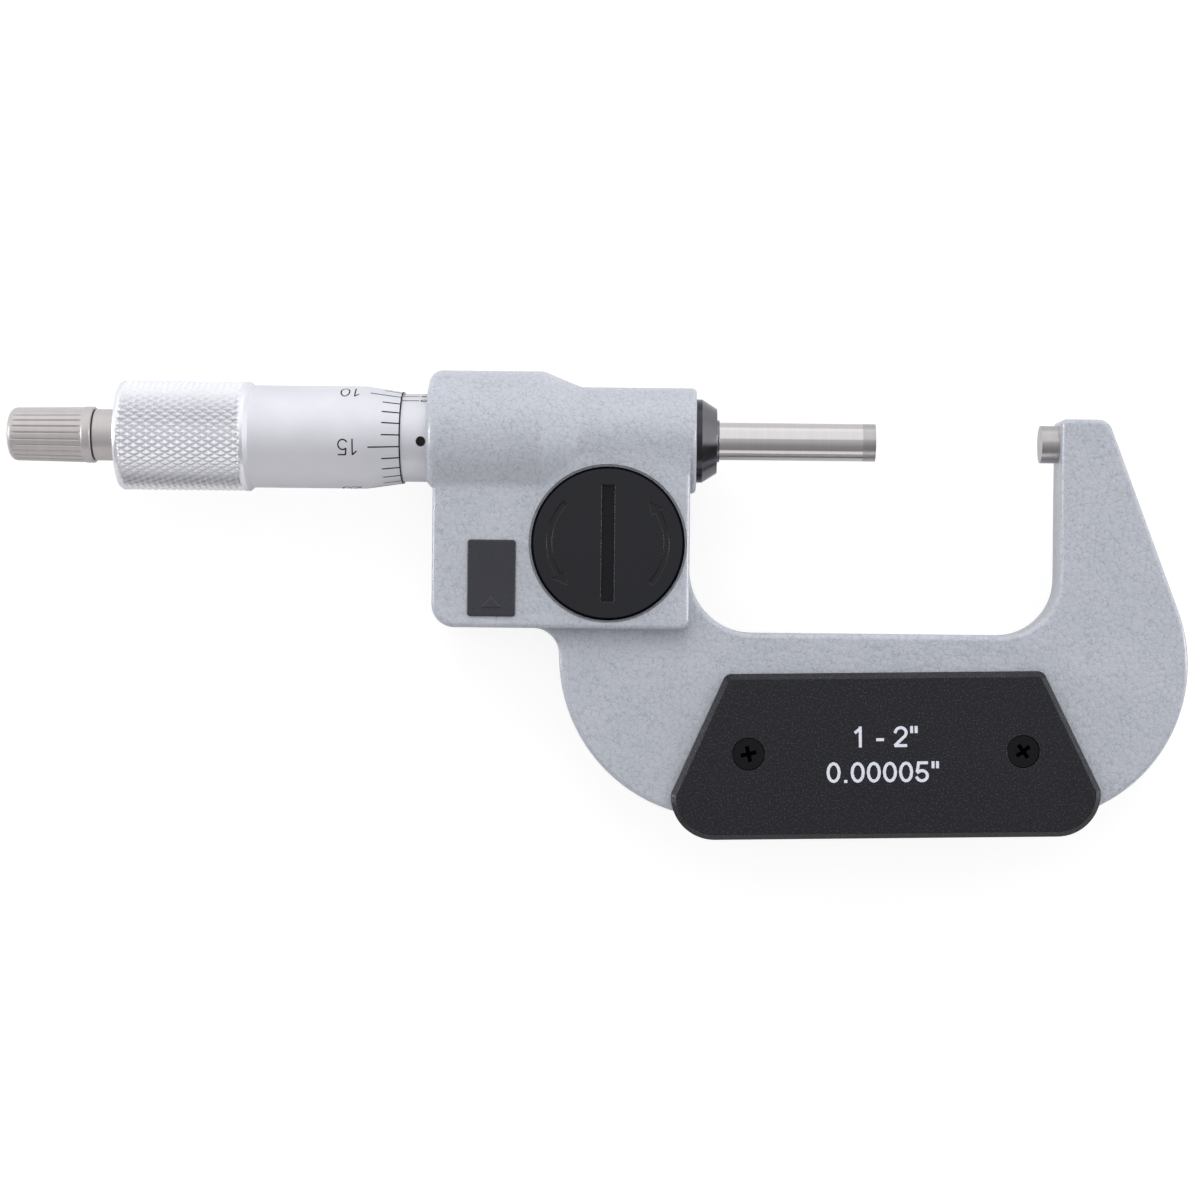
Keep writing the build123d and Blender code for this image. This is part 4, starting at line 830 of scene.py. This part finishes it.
land_right_x = knob_rim_x - knob_rim_l - knob_rim_step
land_x = np.linspace(land_right_x, knob_end_x + knob_end_round, knob_land_rows)
land_r = np.interp(land_x, [land_x[-1], land_x[0]], knob_land_r[::-1])
round_turn = np.linspace(0, pi / 2, knob_round_rows)[1:]
round_x = knob_end_x + knob_end_round * (1 - np.sin(round_turn))
round_r = knob_land_r[1] - knob_end_round * (1 - np.cos(round_turn))
rim = np.array([
    (knob_rim_x, knob_rim_r - knob_rim_edge),
    (knob_rim_x - knob_rim_edge, knob_rim_r),
    (knob_rim_x - knob_rim_l, knob_rim_r),
])
hollow = np.array([
    (knob_end_x, knob_head_r),
    (knob_head_x, knob_head_r),
    (knob_head_x, knob_screw_r),
    (knob_floor_x, knob_screw_r),
    (knob_floor_x, knob_bore_r),
    (knob_rim_x, knob_bore_r),
])
knob_x = np.concatenate([rim[:, 0], land_x, round_x, hollow[:, 0]])
knob_r = np.concatenate([rim[:, 1], land_r, round_r, hollow[:, 1]])
knob_turn = np.arange(flute_count * flute_steps) / flute_steps
flute_share = np.clip(1 - np.abs(knob_turn - np.round(knob_turn)) / flute_half, 0, 1)
in_flutes = np.clip(np.minimum(land_x[0] - knob_x, knob_x - flute_left_x) / flute_run, 0, 1)
in_flutes[-len(hollow):] = 0
fluted_r = knob_r[:, None] - flute_depth * np.outer(in_flutes, flute_share)
knob = turned_surface("ratchet_knob_fluted", knob_x, fluted_r)
knob.data.materials.append(turned_steel("turned steel").material)
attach(knob, "ratchet")
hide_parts("ratchet_knob")


# Battery cap and data port cover: black moulded parts, one screwed in with a coin and one snapped in.
# The cap is satin with faint rings from the mould, and the cover is a little greyer and smoother.
def moulded_plastic(name, colour, roughness, grain_scale=1800, grain_depth=0.0000012, speckle=None,
                    edge_r=0.00016):
    """Moulded plastic: a fine grain in its surface and gloss, with lighter specks where there are any."""
    finish = Finish(name, colour, roughness)
    finish.soft_edges(edge_r)
    grain = finish.noise(grain_scale, 3.0, 0.6)
    tone = finish.mixed(finish.maths("MULTIPLY", finish.clouds(160), 0.6), colour, shaded(colour, 1.25))
    if speckle:
        specks = finish.span(finish.noise(3600, 1.0), 0.54, 0.70)
        tone = finish.mixed(specks, tone, speckle)
    finish.feed(base_color=tone)
    finish.feed(roughness=finish.span(grain, 0.3, 0.7, roughness - 0.06, roughness + 0.08))
    finish.raised(grain, grain_depth)
    return finish


cap_low, cap_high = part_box("battery_cap")
cap_middle = (cap_low + cap_high) / 2
cap_rim_mm = (12.33, 12.42)
cap_slot_z = (cap_high.z - 0.0004, cap_high.z - 0.0006)
cap_black = (0.0025, 0.0030, 0.0055, 1)
cover_black = (0.027, 0.028, 0.035, 1)


def cap_plastic():
    """Black plastic with rings from the mould. Its shine is taken away as painted shade in its rim's gap and
    down in the slot.
    """
    finish = moulded_plastic("cap plastic", cap_black, 0.26, 3000, 0.0000005, edge_r=0.00021)
    finish.raised(finish.noise(1.0, 2.0, 0.6, finish.radius_from(cap_middle, 4200)), 0.0000025)
    # painted shade: no shine in the rim's gap and down in the slot
    in_rim = finish.span(finish.radius_from(cap_middle, 1000), *cap_rim_mm)
    in_slot = finish.span(finish.along("Z"), *cap_slot_z, 0, 0.4)
    rim_and_slot_shade = finish.maths("MAXIMUM", in_rim, in_slot)
    finish.feed(specular_ior_level=finish.span(rim_and_slot_shade, 0, 1, 0.5, 0.0))
    return finish


cap_plastic().put_on("battery_cap")
moulded_plastic("cover plastic", cover_black, 0.30, 3000, 0.0000005, edge_r=0.00028).put_on("data_port_cover")


# Grip plates: heat-insulating slabs of black plastic with a speckled, finely eroded face, held by
# blackened countersunk screws. Range and step of the instrument are printed on the rear one in white.
grip_black = (0.0002, 0.0004, 0.0020, 1)
grip_specks = (0.030, 0.033, 0.052, 1)
grip_plastic = moulded_plastic("grip plastic", grip_black, 0.36, 3200, 0.000024, grip_specks)
grip_plastic.put_on("rear_grip_plate", "front_grip_plate")
recess_shade_from, recess_shade_full = 0.0002, 0.0004


def screw_black(name, face_z, outward):
    """Blackened screws: satin heads, with painted shade making the recess darker below the face of the head.
    """
    finish = black_oxide(name, (0.022, 0.022, 0.025, 1), 0.30, (0, 0, 0))
    # painted shade: the cross recess turns nearly black below the head's face
    recess_shade = finish.span(finish.along("Z"), face_z - recess_shade_from * outward, face_z - recess_shade_full * outward)
    finish.painted(recess_shade, (0.001, 0.001, 0.001, 1))
    return finish


screw_black("rear screw black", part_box("rear_grip_screws")[1].z, 1).put_on("rear_grip_screws")
screw_black("front screw black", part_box("front_grip_screws")[0].z, -1).put_on("front_grip_screws")

print_h = 0.0034
print_w = 0.00050
print_turn = radians(1.15)
print_range_middle = (-0.0263, -0.0494)
print_step_middle = (-0.0266, -0.0553)
grip_face_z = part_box("rear_grip_plate")[1].z

# Advance and strokes of each printed character, with the height of a figure as 1
print_strokes = {
    "0": (0.79, [arc(0.395, 0.5, 0.275, 0.44, 90, 450)]),
    "1": (0.79, [np.array([(0.44, 0.06), (0.44, 0.94)]), np.array([(0.42, 0.90), (0.23, 0.74)])]),
    "2": (0.79, [np.vstack([arc(0.395, 0.69, 0.265, 0.25, 168, -38), [(0.15, 0.11)]]),
                 np.array([(0.15, 0.06), (0.63, 0.06)])]),
    "5": (0.79, [np.array([(0.24, 0.94), (0.61, 0.94)]), np.array([(0.22, 0.93), (0.16, 0.54)]),
                 arc(0.385, 0.31, 0.265, 0.25, 136, -155)]),
    ".": (0.39, [np.array([(0.19, 0.06), (0.20, 0.06)])]),
    "-": (0.46, [np.array([(0.11, 0.36), (0.35, 0.36)])]),
    " ": (0.39, []),
    '"': (0.50, [np.array([(0.14, 0.94), (0.14, 0.74)]), np.array([(0.36, 0.94), (0.36, 0.74)])]),
}


def white_ink():
    """White screen print, a little thin in places."""
    finish = Finish("white print", (0.72, 0.74, 0.83, 1), 0.55)
    thin = finish.span(finish.noise(2200), 0.3, 0.75)
    finish.feed(base_color=finish.mixed(thin, (0.82, 0.84, 0.93, 1), (0.70, 0.72, 0.80, 1)))
    return finish


print_ink = white_ink()


def printed_line(name, text, x, y):
    """A line of figures about (x, y), turned with the plate and laid a hair above its face."""
    lines, left = [], -sum(print_strokes[character][0] for character in text) / 2
    for character in text:
        advance, strokes = print_strokes[character]
        lines += [(stroke + (left, -0.5)) * print_h for stroke in strokes]
        left += advance
    flat, faces = strips(lines, print_w)
    points = np.column_stack([
        x + flat[:, 0] * np.cos(print_turn) - flat[:, 1] * np.sin(print_turn),
        y + flat[:, 0] * np.sin(print_turn) + flat[:, 1] * np.cos(print_turn),
        grip_face_z + flat[:, 2],
    ])
    thin_piece(name, points, faces, print_ink.material, "frame")


printed_line("printed_range", '1 - 2"', *print_range_middle)
printed_line("printed_step", '0.00005"', *print_step_middle)


# Front cover, window, display and buttons: a dark grey moulded cover screwed to the block, a clear
# window welded in it, a grey-green liquid crystal display on its rubber strips, and three buttons.
moulded_plastic("cover grey", (0.085, 0.09, 0.098, 1), 0.46, 2400, 0.000008).put_on("front_cover")
moulded_plastic("button grey", (0.32, 0.33, 0.35, 1), 0.42).put_on("hold_button", "unit_button")
moulded_plastic("button red", (0.42, 0.045, 0.04, 1), 0.42).put_on("zero_button")
lever_black = black_oxide("lever black", (0.06, 0.06, 0.065, 1), 0.36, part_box("lock_lever")[1])
lever_black.put_on("lock_lever", "front_cover_screws")


def clear_window():
    """Clear plastic: it lets most light through and shines, with faint wipe marks in its gloss."""
    finish = Finish("clear window", (0.9, 0.93, 0.92, 1), 0.06)
    finish.shader.inputs["Alpha"].default_value = 0.14
    wipes = finish.noise(1.0, 3.0, 0.6, finish.stretched((60, 900, 200)))
    finish.feed(roughness=finish.span(wipes, 0.3, 0.7, 0.03, 0.10))
    return finish


clear_window().put_on("display_window")


def display_glass():
    """Grey-green display: even, with a very faint fine grid of its electrodes."""
    finish = Finish("display glass", (0.36, 0.41, 0.34, 1), 0.22)
    grid = finish.noise(1.0, 0.0, 0.5, finish.stretched((3200, 3200, 0)))
    share = finish.span(grid, 0.35, 0.65)
    finish.feed(base_color=finish.mixed(share, (0.35, 0.40, 0.33, 1), (0.38, 0.43, 0.355, 1)))
    return finish


display_glass().put_on("lcd_panel")

# Segments a to g of a figure as (x, y, along x) middles in a box 1 wide and 2 high
segments = {
    "a": (0.5, 2.0, 1), "b": (1.0, 1.5, 0), "c": (1.0, 0.5, 0), "d": (0.5, 0.0, 1),
    "e": (0.0, 0.5, 0), "f": (0.0, 1.5, 0), "g": (0.5, 1.0, 1),
}
figures = {"1": "bc", "0": "abcdef"}
reading = "110000"
figure_w = 0.0017
figure_pitch = 0.0028
segment_half = 0.42
segment_w = 0.12
point_gap = 0.25
reading_shift = 0.0005
reading_proud = 0.000015
reading_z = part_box("lcd_panel")[0].z - reading_proud
window_low, window_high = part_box("display_window")
reading_x = (window_low.x + window_high.x) / 2 + figure_pitch * len(reading) / 2 - reading_shift
reading_y = (window_low.y + window_high.y) / 2 - figure_w


def lit_segments():
    """Six-sided bars for the lit segments and a square point, one after another. A figure stands
    upright for someone who looks at the display, so its own x runs towards -X of the part."""
    bar = np.array([(-1, 0), (-0.8, 1), (0.8, 1), (1, 0), (0.8, -1), (-0.8, -1)])
    shapes = []
    for place, figure in enumerate(reading):
        for name in figures[figure]:
            x, y, level = segments[name]
            shape = bar * (segment_half, segment_w)
            shape = shape if level else shape[:, ::-1]
            shapes.append((shape + (x, y)) * figure_w + (figure_pitch * place, 0))
    dot = np.array([(-1, -1), (-1, 1), (1, 1), (1, -1)]) * segment_w * figure_w
    dot = np.vstack([dot, dot[-1:], dot[-1:]]) + (figure_pitch - point_gap * figure_w, 0)
    return np.vstack(shapes + [dot])


def display_ink():
    """The dark of lit segments, a little uneven in its gloss."""
    finish = Finish("display segments", (0.012, 0.014, 0.014, 1), 0.4)
    finish.feed(roughness=finish.clouds(2000, 2.0, 0.3, 0.5))
    return finish


def display_reading():
    """The lit segments on the glass, as six points to a face, facing out of the display."""
    flat = lit_segments()
    depth = np.full(len(flat), reading_z)
    points = np.column_stack([reading_x - flat[:, 0], reading_y + flat[:, 1], depth])
    faces = np.arange(len(flat)).reshape(-1, 6)
    piece = thin_piece("display_reading", points, faces, display_ink().material, "frame")
    face_outward(piece.data)


display_reading()


# Inside: the screw's sleeve, nut and springs in plain steel, the bush in bronze, the encoder and the
# circuit board in green laminate with tinned copper, plated contacts, and moulded black carriers.
rubber("contact rubber", (0.09, 0.09, 0.10, 1)).put_on("lcd_contact_strips")
ground_metal("inner steel", (0.50, 0.50, 0.51, 1), 0.32, 0.0000015).put_on(
    "inner_sleeve", "adjusting_nut", "ratchet_ring", "ratchet_spring", "ratchet_screw", "lock_pin")
ground_metal("bush bronze", (0.60, 0.40, 0.20, 1), 0.34, 0.0000015).put_on("rotor_bush")
ground_metal("plated contact", (0.80, 0.62, 0.30, 1), 0.24, 0.0000008).put_on(
    "battery_contact_plus", "battery_contact_minus", "data_port_pins", "encoder_ribbon")
ground_metal("cell nickel", (0.66, 0.65, 0.62, 1), 0.24, 0.0000008).put_on("battery")
moulded_plastic("inner plastic", (0.03, 0.03, 0.034, 1), 0.5).put_on(
    "encoder_rotor", "button_switches", "battery_cup", "data_port_socket")


def printed_board():
    """Green solder mask over copper: straight tracks show as lighter bands, with small round pads."""
    finish = Finish("printed board", (0.03, 0.16, 0.07, 1), 0.3)
    tracks = finish.node("TexBrick", {
        "Vector": finish.point,
        "Scale": 700,
        "Mortar Size": 0.05,
        "Color1": (0.025, 0.15, 0.065, 1),
        "Color2": (0.03, 0.17, 0.075, 1),
        "Mortar": (0.05, 0.28, 0.12, 1),
    })
    pads = finish.node("TexVoronoi", {"Vector": finish.point, "Scale": 420})
    pad = finish.span(pads.outputs["Distance"], 0.16, 0.13)
    finish.feed(base_color=finish.mixed(pad, tracks.outputs["Color"], (0.62, 0.58, 0.46, 1)))
    finish.feed(metallic=finish.maths("MULTIPLY", pad, 0.9))
    return finish


printed_board().put_on("circuit_board", "encoder_stator")
